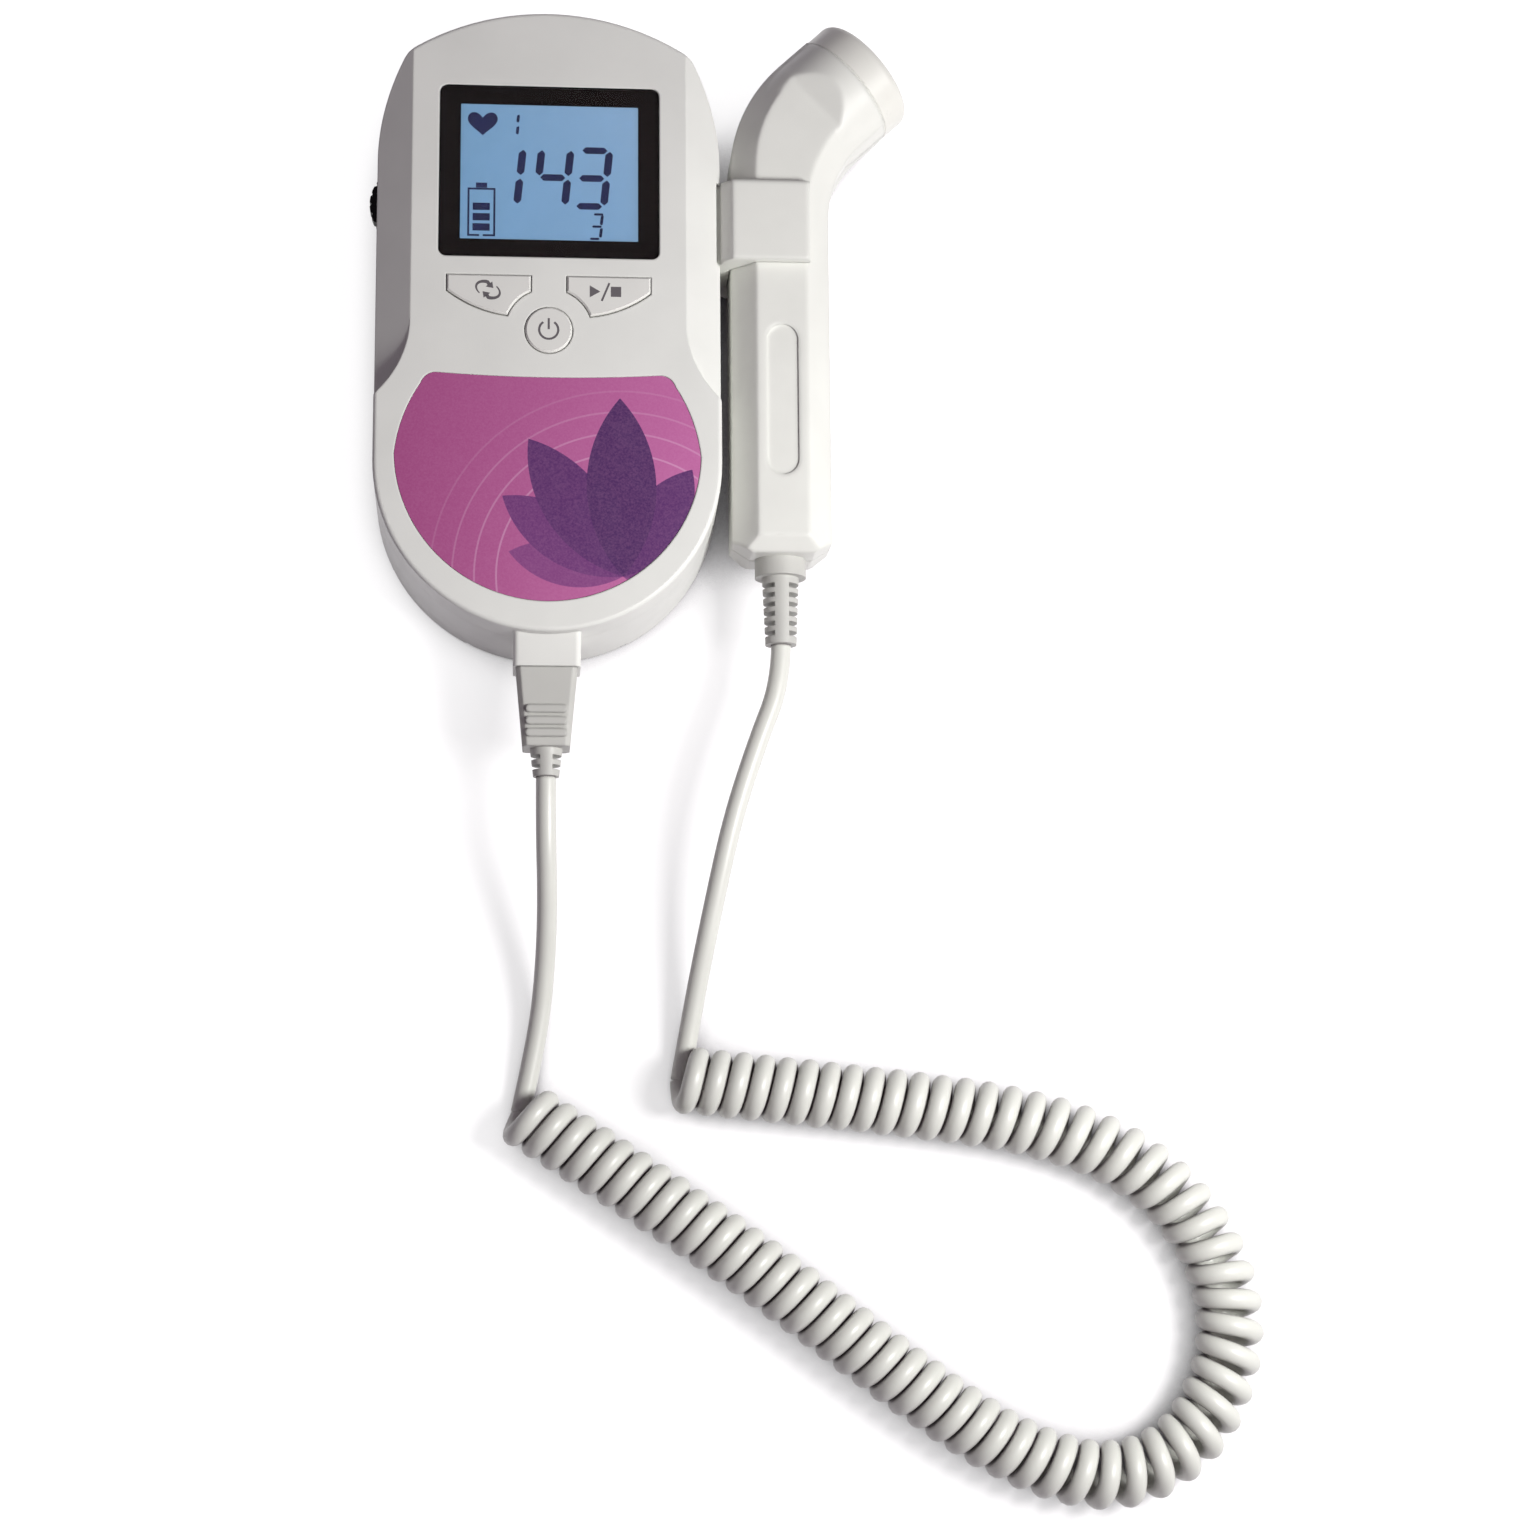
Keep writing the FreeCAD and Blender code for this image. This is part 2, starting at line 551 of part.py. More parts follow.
def housing_block(piece):
    """The closed outer form that both mouldings share, boss and all."""
    piece.pad("XY", 0, [unit_outline()], d.face_z, taper=d.draft)
    facet = [
        (d.facet_x, d.face_z), (d.facet_x + d.facet_run, d.face_z - d.facet_fall),
        (d.facet_x + d.facet_run, d.face_z + d.cut_over), (d.facet_x, d.face_z + d.cut_over),
    ]
    far_y = d.crown_y + d.crown_r + d.cut_over
    piece.pocket("XZ", far_y, [facet, flipped(facet)], far_y - d.flare_y)
    flare = flare_outline()
    piece.pad("XY", d.parting_z, [flare, flipped(flare)], d.face_z - d.parting_z)
    profile = [
        (d.boss_root_y, d.boss_low_z), (d.boss_root_y, d.boss_high_z),
        (d.boss_slope_y, d.boss_high_z),
        (d.boss_y, d.boss_lip_z), (d.boss_y, d.boss_low_z),
    ]
    piece.pad("YZ", -d.boss_half, [profile], d.boss_half * 2)
    side, front = float(d.boss_half), float(d.boss_y)

    def along_boss(b):
        at_side = b.XLength < NEAR and abs(abs(b.XMin) - side) < NEAR
        return at_side and abs(b.YMin - front) < NEAR and b.YLength > side / 2

    piece.round_edges(along_boss, d.boss_r)


def clip_seat(piece, low_z, high_z):
    """Shallow seat for the holder's foot in the right-hand wall, with a slanting lower end."""
    inner_x = d.clip_foot_x
    outer_x = d.half_width + d.cut_over
    low_y = d.clip_low_y - d.seat_gap
    seat = [
        (inner_x, low_y), (outer_x, low_y - (outer_x - inner_x)),
        (outer_x, d.clip_high_y + d.seat_gap), (inner_x, d.clip_high_y + d.seat_gap),
    ]
    piece.pocket("XY", high_z, [seat], dim(high_z) - low_z)


def case_spots():
    heights = (d.case_screw_low_y, d.case_screw_high_y)
    return [(x, y) for x in plus_minus(d.case_screw_x) for y in heights]


def board_spots():
    heights = (d.board_screw_low_y, d.board_screw_high_y)
    return [(x, y) for x in plus_minus(d.board_screw_x) for y in heights]


def side_key_outline(inset=0):
    """Right-hand key: flat top, hollow towards the power key, swelling lower edge.

    The lower corner is not square, so an inset moves it by its own shares.
    """
    inset = dim(inset)
    in_x = d.key_in_x + inset
    out_x = d.key_out_x - inset
    return [
        (in_x, d.key_top_y - inset), (in_x, d.key_low_y + inset * 0.7, -(d.key_arc_r + inset)),
        (d.key_tip_x + inset * 0.6, d.key_tip_y + inset * 1.35, d.key_belly_r),
        (out_x, d.key_low_y + inset), (out_x, d.key_top_y - inset),
    ]


def label_outline(inset=0):
    """Printed panel: nearly round, with a slightly sagging straight top."""
    inset = dim(inset)
    half = d.label_half - inset
    low_y = d.label_low_y + inset
    neck_x = d.label_neck_x - inset
    top_x = d.label_top_x - inset
    top_y = d.label_top_y - inset
    return [
        (0, low_y, d.label_low_r), (half, d.label_wide_y, d.label_side_r),
        (neck_x, d.label_neck_y, d.label_corner_r), (top_x, top_y, -d.label_sag_r),
        (-top_x, top_y, d.label_corner_r), (-neck_x, d.label_neck_y, d.label_side_r),
        (-half, d.label_wide_y, d.label_low_r),
    ]


def window_outline(inset=0):
    inset = dim(inset)
    return round_rect(
        dim(0), d.window_y, d.window_w / 2 - inset, d.window_h / 2 - inset, d.window_r - inset)


def front_shell():
    piece = Piece("front_shell")
    housing_block(piece)
    top, low_y, high_y = float(d.face_z), float(d.flare_y), float(d.shoulder_y)

    def outer_rim(b):
        ends = b.YMax < low_y + NEAR * 10 or b.YMin > high_y
        return ends and b.ZMin > top - NEAR and b.DiagonalLength > NEAR * 10

    piece.round_edges(outer_rim, d.rim_r)
    parting = d.parting_z
    piece.pocket("XY", parting, [rect(-d.beyond, -d.beyond, d.beyond, d.beyond)], d.clear_depth)
    piece.pocket("XY", parting, [unit_outline(d.wall)], d.side_roof_z - parting, towards=1)
    piece.pocket("XY", parting, [roof_outline()], d.roof_z - parting, towards=1)
    socket_top = d.socket_z + d.socket_half_z
    socket = rect(-d.socket_half_x, d.boss_y + d.boss_wall, d.socket_half_x, d.boss_root_y)
    piece.pocket("XY", parting, [socket], socket_top - parting, towards=1)
    clip_seat(piece, parting, d.face_z)
    case_posts = [circle(x, y, d.case_post_r - d.post_step) for x, y in case_spots()]
    piece.pad("XY", parting, case_posts, d.roof_z + d.bite - parting)
    board_top = d.board_z + d.board_t
    board_posts = [circle(x, y, d.board_post_r) for x, y in board_spots()]
    piece.pad("XY", board_top, board_posts, d.roof_z + d.bite - board_top)
    threads = [circle(x, y, d.case_thread_r) for x, y in case_spots()]
    piece.pocket("XY", parting, threads, d.thread_depth, towards=1)
    threads = [circle(x, y, d.board_thread_r) for x, y in board_spots()]
    piece.pocket("XY", board_top, threads, d.thread_depth, towards=1)
    piece.pocket("XY", d.face_z, [window_outline()], d.window_depth)
    sight_half = d.sight_h / 2
    sight = rect(-d.sight_w / 2, d.sight_y - sight_half, d.sight_w / 2, d.sight_y + sight_half)
    key = side_key_outline()
    openings = [sight, key, flipped(key), circle(0, d.power_y, d.power_r)]
    piece.pocket("XY", d.face_z, openings, d.face_z - d.roof_z + d.cut_over / 2)
    piece.pocket("XY", d.face_z, [label_outline()], d.label_depth)


def rear_shell():
    piece = Piece("rear_shell")
    housing_block(piece)
    above = rect(-d.beyond, -d.beyond, d.beyond, d.beyond)
    piece.pocket("XY", d.parting_z, [above], d.clear_depth, towards=1)
    piece.bevel_edges(lambda b: b.ZMax < NEAR, d.back_bevel)
    inner_r = d.half_width - d.wall
    inner = unit_outline(d.wall)
    piece.pocket("XY", d.parting_z, [inner], d.parting_z - d.bay_top_z)
    foot_y = d.end_y - arc_reach(inner_r, d.bay_wall_x)
    island = [
        (-d.bay_wall_x, foot_y), (-d.bay_wall_x, d.bay_wall_high_y), (d.bay_wall_x, d.bay_wall_high_y),
        (d.bay_wall_x, foot_y, inner_r),
    ]
    piece.pocket("XY", d.bay_top_z, [island + inner[2:] + inner[:1]], d.bay_top_z - d.wall)
    sill_x = arc_reach(inner_r, d.end_y - d.sill_y)
    sill = [(-sill_x, d.sill_y, inner_r), (0, d.end_y - inner_r, inner_r), (sill_x, d.sill_y)]
    piece.pocket("XY", d.bay_top_z, [sill], d.bay_top_z - d.sill_top_z)
    battery_bay(piece)
    floor_z = d.wall - d.bite
    piece.pad("XY", floor_z, [circle(x, y, d.case_post_r) for x, y in case_spots()], d.parting_z - floor_z)
    piece.pocket("XY", d.parting_z, [circle(x, y, d.case_hole_r) for x, y in case_spots()], d.parting_z)
    sinks = [circle(x, y, d.case_sink_r) for x, y in case_spots()]
    piece.pocket("XY", 0, sinks, d.case_sink_z, towards=1)
    fence = [circle(0, d.speaker_y, d.fence_r), circle(0, d.speaker_y, d.fence_in_r)]
    piece.pad("XY", floor_z, fence, d.fence_top_z - floor_z)
    piece.pocket("XY", 0, grille_slots(), d.wall + d.cut_over / 2, towards=1)
    outside, through = -d.half_width - d.cut_over, d.wall + d.cut_over * 1.5
    wheel_low_y, wheel_high_y = d.wheel_y - d.wheel_slot_half, d.wheel_y + d.wheel_slot_half
    wheel_slot = rect(wheel_low_y, d.wheel_slot_low_z, wheel_high_y, d.wheel_slot_high_z)
    piece.pocket("YZ", outside, [wheel_slot], through, towards=1)
    jack_hole = circle(d.jack_y, d.jack_z, d.jack_nose_r + d.jack_gap)
    piece.pocket("YZ", outside, [jack_hole], through, towards=1)
    socket_low = d.socket_z - d.socket_half_z
    socket = rect(-d.socket_half_x, d.boss_y + d.boss_wall, d.socket_half_x, d.socket_end_y + d.slip)
    piece.pocket("XY", d.parting_z, [socket], d.parting_z - socket_low)
    piece.pocket("XZ", d.boss_y, [mouth_outline()], d.boss_wall + d.slip, towards=1)
    clip_seat(piece, d.clip_seat_low_z, d.parting_z)
    screw_holes = [circle(y, d.probe_z, d.clip_screw_hole_r + d.slip) for y in clip_screw_heights()]
    piece.pocket("YZ", d.half_width - d.wall - d.cut_over / 2, screw_holes, d.wall, towards=1)


def battery_bay(piece):
    """The bay from the back, the door's slot and the grooves for its side tongues."""
    bay = rect(-d.bay_half, d.bay_low_y, d.bay_half, d.bay_high_y)
    piece.pocket("XY", 0, [bay], d.bay_roof_z, towards=1)
    below = d.end_y - d.half_width - d.cut_over
    slot_top = d.door_top_y + d.door_gap
    slot = rect(-d.door_half - d.door_gap, below, d.door_half + d.door_gap, slot_top)
    piece.pocket("XY", 0, [slot], d.door_slot_z, towards=1)
    groove = rect(-d.tongue_half - d.door_gap, below, d.tongue_half + d.door_gap, slot_top)
    piece.pocket("XY", d.door_lip_z, [groove], d.door_slot_z - d.door_lip_z, towards=1)


def grille_slots():
    """Parallel slots, each as long as the round field allows."""
    slots = []
    half_w = d.grille_slot_w / 2
    for row in range(GRILLE_ROWS):
        offset = d.grille_pitch * (row - (GRILLE_ROWS - 1) / 2)
        reach = arc_reach(d.grille_r, offset)
        y = d.speaker_y + offset
        slots.append(rect(-reach, y - half_w, reach, y + half_w))
    return slots


def mouth_outline():
    half_x, half_z = d.mouth_half_x, d.mouth_half_z
    return rect(-half_x, d.socket_z - half_z, half_x, d.socket_z + half_z)


def battery_door():
    piece = Piece("battery_door")
    low_r = d.half_width - d.slip
    foot_y = d.end_y - arc_reach(low_r, d.door_half)
    plate = [
        (-d.door_half, foot_y, low_r), (0, d.end_y - low_r, low_r), (d.door_half, foot_y),
        (d.door_half, d.door_top_y), (-d.door_half, d.door_top_y),
    ]
    piece.pad("XY", 0, [plate], d.door_t)
    tongues = rect(-d.tongue_half, d.tongue_low_y, d.tongue_half, d.door_top_y)
    lip_z = d.door_lip_z + d.slip
    piece.pad("XY", lip_z, [tongues], d.door_t - lip_z)
    piece.bevel_edges(lambda b: b.ZMax < NEAR and b.YMax < float(foot_y) + NEAR * 10, d.back_bevel)
    grips = []
    for row in range(GRIP_ROWS):
        low_y = d.grip_y - d.grip_pitch * row
        grips.append(rect(-d.grip_half, low_y, d.grip_half, low_y + d.grip_w))
    piece.pocket("XY", 0, grips, d.grip_depth, towards=1)


# ---------------------------------------------------------------- inside the display unit

def screen_window():
    piece = Piece("screen_window")
    piece.pad("XY", d.face_z - d.window_depth, [window_outline(d.window_gap)], d.window_depth)


def lcd_panel():
    """Two glasses; the rear one is longer and carries the contact ledge."""
    piece = Piece("lcd_panel")
    half = d.lcd_half_w
    low_z = d.roof_z - d.lcd_t
    middle_z = d.roof_z - d.lcd_t / 2
    piece.pad("XY", low_z, [rect(-half, d.lcd_low_y, half, d.lcd_high_y)], middle_z - low_z)
    front = rect(-half, d.lcd_low_y + d.lcd_ledge, half, d.lcd_high_y)
    piece.pad("XY", middle_z, [front], d.roof_z - middle_z)


def lcd_backlight():
    obj = box("lcd_backlight", (-d.lcd_half_w, d.lcd_low_y, d.board_z + d.board_t),
              (d.lcd_half_w, d.lcd_high_y, d.roof_z - d.lcd_t))
    pieces.append(obj)


def label_panel():
    piece = Piece("label_panel")
    piece.pad("XY", d.face_z - d.label_depth, [label_outline(d.slip)], d.label_depth - d.slip / 2)


def main_board():
    piece = Piece("main_board")
    outline = [
        (-d.board_x, d.board_low_y), (d.board_x, d.board_low_y), (d.board_x, d.board_high_y),
        (-d.board_x, d.board_high_y), (-d.board_x, d.board_tab_high_y), (-d.board_tab_x, d.board_tab_high_y),
        (-d.board_tab_x, d.board_tab_low_y), (-d.board_x, d.board_tab_low_y),
    ]
    holes = [circle(x, y, d.board_hole_r) for x, y in board_spots()]
    piece.pad("XY", d.board_z, [outline] + holes, d.board_t)


def key_switches():
    switches = []
    board_top = d.board_z + d.board_t
    spots = [(-d.switch_x, d.switch_y), (dim(0), d.power_y), (d.switch_x, d.switch_y)]
    for i, (x, y) in enumerate(spots):
        half = d.switch_half
        base = box(f"switch_{i}", (x - half, y - half, board_top), (x + half, y + half, d.switch_top_z))
        plunger = primitive("Cylinder", f"plunger_{i}", (x, y, d.switch_top_z),
                            Radius=d.plunger_r, Height=d.plunger_top_z - d.switch_top_z)
        switches.append(fused(f"tact_{i}", [base, plunger]))
    group("key_switches", switches)


def key(label, outline, rim, x, y):
    """Key cap: face above, rim that bears on the underside of the moulding, stem to the switch."""
    piece = Piece(label)
    top = d.face_z + d.key_proud
    piece.pad("XY", d.key_lip_z, [rim], d.roof_z - d.key_lip_z)
    piece.pad("XY", d.roof_z, [outline], top - d.roof_z)
    piece.pad("XY", d.key_stem_z, [circle(x, y, d.key_stem_r)], d.key_lip_z - d.key_stem_z)
    piece.bevel_edges(lambda b: b.ZMin > float(top) - NEAR, d.key_bevel)


def keys():
    cap = side_key_outline(d.key_gap)
    rim = side_key_outline(-d.key_lip)
    key("start_stop_key", cap, rim, d.switch_x, d.switch_y)
    key("mode_key", flipped(cap), flipped(rim), -d.switch_x, d.switch_y)
    power_cap = circle(0, d.power_y, d.power_r - d.key_gap)
    power_rim = circle(0, d.power_y, d.power_r + d.key_lip)
    key("power_key", power_cap, power_rim, 0, d.power_y)


def speaker():
    """Basket rim on the grille, cone housing and magnet behind it."""
    x, y = dim(0), d.speaker_y
    rim_top = d.wall + d.speaker_rim_t
    cup_top = (rim_top + d.magnet_top_z) / 2
    rim = primitive("Cylinder", "speaker_rim", (x, y, d.wall), Radius=d.speaker_r, Height=d.speaker_rim_t)
    cup = primitive("Cone", "speaker_cup", (x, y, rim_top), Radius1=d.speaker_r - d.speaker_rim_w,
                    Radius2=d.magnet_r, Height=cup_top - rim_top)
    magnet = primitive("Cylinder", "speaker_magnet", (x, y, cup_top), Radius=d.magnet_r,
                       Height=d.magnet_top_z - cup_top)
    pieces.append(fused("speaker", [rim, cup, magnet]))


def volume_potentiometer():
    x, y, half = d.wheel_x, d.wheel_y, d.pot_half
    body = box("pot_body", (x - half, y - half, d.pot_low_z), (x + half, y + half, d.board_z))
    shaft = primitive("Cylinder", "pot_shaft", (x, y, d.wheel_low_z), Radius=d.shaft_r,
                      Height=d.pot_low_z - d.wheel_low_z)
    pieces.append(fused("volume_potentiometer", [body, shaft]))


def volume_wheel():
    """Thumb wheel with a knurled rim and a bore that runs on the shaft."""
    piece = Piece("volume_wheel")
    rim = circle(d.wheel_x, d.wheel_y, d.wheel_r)
    bore = circle(d.wheel_x, d.wheel_y, d.shaft_r + d.shaft_gap)
    piece.pad("XY", d.wheel_low_z, [rim, bore], d.wheel_t)
    outer = d.wheel_r + d.cut_over
    flare = d.knurl_half * (d.knurl_depth + d.cut_over) / d.knurl_depth
    notch = [(d.wheel_r - d.knurl_depth, 0), (outer, -flare), (outer, flare)]
    sk = piece.sketch("XY", d.wheel_low_z + d.wheel_t, [notch], origin=(d.wheel_x, d.wheel_y))
    groove = piece.grow("Pocket", sk, d.wheel_t, "Knurl")
    piece.settle(groove, -1)
    knurl = piece.body.newObject("PartDesign::PolarPattern", "Knurls")
    knurl.Originals = [groove]
    knurl.Axis = (sk, ["N_Axis"])
    knurl.Angle = 360
    knurl.Occurrences = KNURL_COUNT
    piece.body.Tip = knurl
    doc.recompute()


def headphone_jack():
    """Barrel through the side wall and a block under the board's tab, with the plug's bore."""
    piece = Piece("headphone_jack")
    block = rect(d.jack_y - d.jack_half_y, d.jack_low_z, d.jack_y + d.jack_half_y, d.board_z)
    piece.pad("YZ", d.jack_body_x, [block], d.jack_end_x - d.jack_body_x)
    nose = circle(d.jack_y, d.jack_z, d.jack_nose_r)
    piece.pad("YZ", d.jack_mouth_x, [nose], d.jack_body_x - d.jack_mouth_x)
    bore = circle(d.jack_y, d.jack_z, d.jack_bore_r)
    piece.pocket("YZ", d.jack_mouth_x, [bore], d.jack_bore_len, towards=1)


def probe_socket():
    piece = Piece("probe_socket")
    low_y = d.boss_y + d.boss_wall
    low_z = d.socket_z - d.socket_half_z
    half_x = d.socket_half_x - d.slip
    piece.pad("XY", low_z, [rect(-half_x, low_y, half_x, d.socket_end_y)], d.socket_half_z * 2 - d.slip)
    piece.pocket("XZ", low_y, [mouth_outline()], d.mouth_depth - d.boss_wall, towards=1)


def cell_gap():
    """Room for a sprung leaf between a cell and its contact plate."""
    return d.bay_high_y - d.bay_low_y - d.plate_t * 2 - d.cell_len - d.nub_h


def battery(label, x, foot_y, way):
    """Round cell lying along Y; `way` +1 points its nub to the top end."""
    direction = (0, way, 0)
    can = primitive("Cylinder", label + "_can", (x, foot_y, d.cell_z), direction,
                    Radius=d.cell_r, Height=d.cell_len)
    nub = primitive("Cylinder", label + "_nub", (x, foot_y + d.cell_len * way, d.cell_z), direction,
                    Radius=d.nub_r, Height=d.nub_h)
    pieces.append(fused(label, [can, nub]))


def batteries():
    battery("battery_1", -d.cell_x, d.bay_low_y + d.plate_t + cell_gap(), 1)
    battery("battery_2", d.cell_x, d.bay_high_y - d.plate_t - cell_gap(), -1)


def contact_leaf(name, x, start_y, way):
    """Arched leaf between a contact plate and the flat end of a cell."""
    piece = Piece(name, listed=False)
    rise = cell_gap()
    half, t = d.leaf_half, d.leaf_t
    z = d.cell_z
    outer_r = (half * half + rise * rise) / (rise * 2)
    inner_half, inner_rise = half - t, rise - t
    inner_r = (inner_half * inner_half + inner_rise * inner_rise) / (inner_rise * 2)
    turn = -way
    arch = [
        (start_y, z - half, -outer_r * turn), (start_y + rise * way, z, -outer_r * turn),
        (start_y, z + half),
        (start_y, z + inner_half, inner_r * turn), (start_y + inner_rise * way, z, inner_r * turn),
        (start_y, z - inner_half),
    ]
    piece.pad("YZ", x - d.leaf_width / 2, [arch], d.leaf_width)
    return piece.body


def battery_contacts():
    """A bridge across the upper ends, two plates at the lower end, a leaf at each flat end."""
    half, t = d.plate_half, d.plate_t
    low_z, high_z = d.cell_z - half, d.cell_z + half
    high_y, low_y = d.bay_high_y, d.bay_low_y
    bridge = box("bridge", (-d.cell_x - half, high_y - t, low_z), (d.cell_x + half, high_y, high_z))
    parts = [bridge]
    for i, x in enumerate(plus_minus(d.cell_x)):
        parts.append(box(f"plate_{i}", (x - half, low_y, low_z), (x + half, low_y + t, high_z)))
    parts.append(contact_leaf("leaf_0", -d.cell_x, low_y + t, 1))
    parts.append(contact_leaf("leaf_1", d.cell_x, high_y - t, -1))
    group("battery_contacts", parts)


def fasteners():
    """Case and board screws along Z, holder screws along X."""
    case = []
    board = []
    clip = []
    up = (0, 0, 1)
    bite = d.thread_depth - d.cut_over
    for i, (x, y) in enumerate(case_spots()):
        spot = (x, y, d.case_sink_z - d.case_head_t)
        case.append(screw(f"case_screw_{i}", spot, up, d.case_sink_r - d.head_gap, d.case_head_t,
                          d.case_thread_r - d.shank_gap, d.parting_z + bite - d.case_sink_z))
    for i, (x, y) in enumerate(board_spots()):
        spot = (x, y, d.board_z - d.board_head_t)
        board.append(screw(f"board_screw_{i}", spot, up, d.board_head_r, d.board_head_t,
                           d.board_thread_r - d.shank_gap, d.board_t + bite))
    wall_x = d.half_width - d.wall
    for i, y in enumerate(clip_screw_heights()):
        spot = (wall_x - d.board_head_t, y, d.probe_z)
        clip.append(screw(f"clip_screw_{i}", spot, (1, 0, 0), d.clip_screw_head_r, d.board_head_t,
                          d.clip_screw_r, d.clip_screw_len))
    group("case_screws", case)
    group("board_screws", board)
    group("holder_screws", clip)


# ---------------------------------------------------------------- probe holder

def clip_screw_heights():
    middle = (d.clip_low_y + d.clip_high_y) / 2
    return [middle + offset for offset in plus_minus(d.clip_screw_y)]


def probe_holder():
    """C-shaped clip round the handle, open to the right, with its foot let into the unit's side."""
    piece = Piece("probe_holder")
    z = d.probe_z
    inner_half = d.flat_half + d.clip_gap
    outer_half = inner_half + d.clip_wall
    inner_x = d.probe_x - d.handle_half - d.clip_gap
    # An even gap along the handle's 45 degree bevels.
    bevel = d.bevel + d.clip_gap * (2 - math.sqrt(2))
    tip, side = d.clip_tip_x, d.clip_side_x
    upper = [
        (tip, z + outer_half), (d.clip_bend_x, z + outer_half), (side, z + d.clip_bend),
        (side, z + d.clip_foot_half), (d.clip_foot_x, z + d.clip_foot_half),
    ]
    lower = [
        (d.clip_foot_x, z - d.clip_foot_half), (side, z - d.clip_foot_half), (side, z - d.clip_bend),
        (d.clip_bend_x, z - outer_half), (tip, z - outer_half),
    ]
    hollow = [
        (tip, z - inner_half), (inner_x + bevel, z - inner_half), (inner_x, z - inner_half + bevel),
        (inner_x, z + inner_half - bevel), (inner_x + bevel, z + inner_half), (tip, z + inner_half),
    ]
    piece.pad("XZ", d.clip_low_y, [upper + lower + hollow], d.clip_high_y - d.clip_low_y)
    tip_x = float(tip) - NEAR
    piece.round_edges(lambda b: b.XMin > tip_x and b.YLength > 5, d.clip_r)
    holes = [circle(y, z, d.clip_screw_hole_r) for y in clip_screw_heights()]
    piece.pocket("YZ", d.clip_foot_x, holes, d.clip_hole_depth, towards=1)


# ---------------------------------------------------------------- probe

def head_spot(along, across):
    """A point in the head's own frame, whose axis leans away from the handle's."""
    turn_cos, turn_sin = cosine(d.head_turn), sine(d.head_turn)
    along, across = dim(along), dim(across)
    return (d.probe_x + along * turn_cos - across * turn_sin, d.head_y + along * turn_sin + across * turn_cos)


def neck_arc(side_x, across, r):
    """Ends of the arc of radius r that touches the handle's side and the head's, on its right."""
    turn_cos, turn_sin = cosine(d.head_turn), sine(d.head_turn)
    centre_x = dim(side_x) + r
    centre_y = d.head_y + (dim(across) - r + (centre_x - d.probe_x) * turn_sin) / turn_cos
    return (side_x, centre_y), (centre_x - r * turn_sin, centre_y + r * turn_cos)


def probe_outline(inset=0):
    """Plan of the handle and its bent neck, up to the head's seam."""
    inset = dim(inset)
    left = d.probe_x - d.handle_half + inset
    right = d.probe_x + d.handle_half - inset
    bevel_y = d.handle_bevel_y + inset * 0.5
    end_y = d.handle_end_y + inset
    end_half = d.handle_end_half - inset * 0.3
    seam_half = d.seam_half - inset
    in_r, out_r = d.neck_in_r - inset, d.neck_out_r + inset
    in_start, in_end = neck_arc(left, seam_half, in_r)
    out_start, out_end = neck_arc(right, -seam_half, out_r)
    return [
        (left, bevel_y), (d.probe_x - end_half, end_y), (d.probe_x + end_half, end_y), (right, bevel_y),
        out_start + (-out_r,), out_end, head_spot(d.seam_at, -seam_half),
        head_spot(d.seam_at, seam_half), in_end + (in_r,), in_start,
    ]


def probe_form(piece, side):
    """One half of the probe: bevelled handle and neck, round head, flat face that ends in a slope."""
    flat = d.flat_half
    piece.pad("XY", d.probe_z, [probe_outline()], flat, towards=side)
    level = float(d.probe_z + flat * side)
    seam = [float(v) for v in head_spot(d.seam_at, 0)]

    def at_level(b):
        return abs(b.ZMin - level) < NEAR and abs(b.ZMax - level) < NEAR

    def at_end(b):
        return at_level(b) and b.YMax < float(d.handle_bevel_y) + NEAR

    def along_side(b):
        off_seam = math.hypot(b.Center.x - seam[0], b.Center.y - seam[1])
        return at_level(b) and not at_end(b) and off_seam > AT_SEAM

    piece.bevel_edges(along_side, d.bevel)
    piece.bevel_edges(at_end, d.end_bevel)
    head = [
        (d.head_start, 0), (d.seam_at, 0), (d.seam_at, d.seam_r - d.seam_bevel),
        (d.seam_at - d.seam_bevel, d.seam_r), (d.head_full_at, d.head_full_r, d.head_arc_r),
        (d.head_start, d.head_start_r),
    ]
    piece.turn("XY", d.probe_z, [head], (d.probe_x, d.head_y), d.head_turn)
    other_half = rect(-d.beyond, -d.beyond, d.beyond, d.beyond)
    piece.pocket("XY", d.probe_z, [other_half], d.clear_depth, towards=-side)
    thumb = rect(-d.thumb_back, -d.thumb_back, d.thumb_end, d.thumb_back)
    piece.pocket("XY", d.probe_z + flat * side, [thumb], d.thumb_clear, towards=side,
                 origin=(d.probe_x, d.head_y), angle=d.head_turn, taper=d.thumb_slant)


def probe_cavity(piece, side):
    """Room for the board along the handle and for the transducer in the head."""
    t = d.shell_t
    piece.pocket("XY", d.probe_z, [probe_outline(t)], d.flat_half - d.bevel - d.well_step, towards=side)
    piece.pocket("XY", d.probe_z, [probe_outline(d.bevel)], d.flat_half - t, towards=side)
    step, ring_r = d.spigot_start - d.slip * 2, d.spigot_r + d.slip
    well = [
        (d.well_start, 0), (d.seam_at, 0), (d.seam_at, ring_r), (step, ring_r), (step, d.damper_r),
        (d.well_start, d.damper_r),
    ]
    piece.turn("XY", d.probe_z, [well], (d.probe_x, d.head_y), d.head_turn, cut=True)


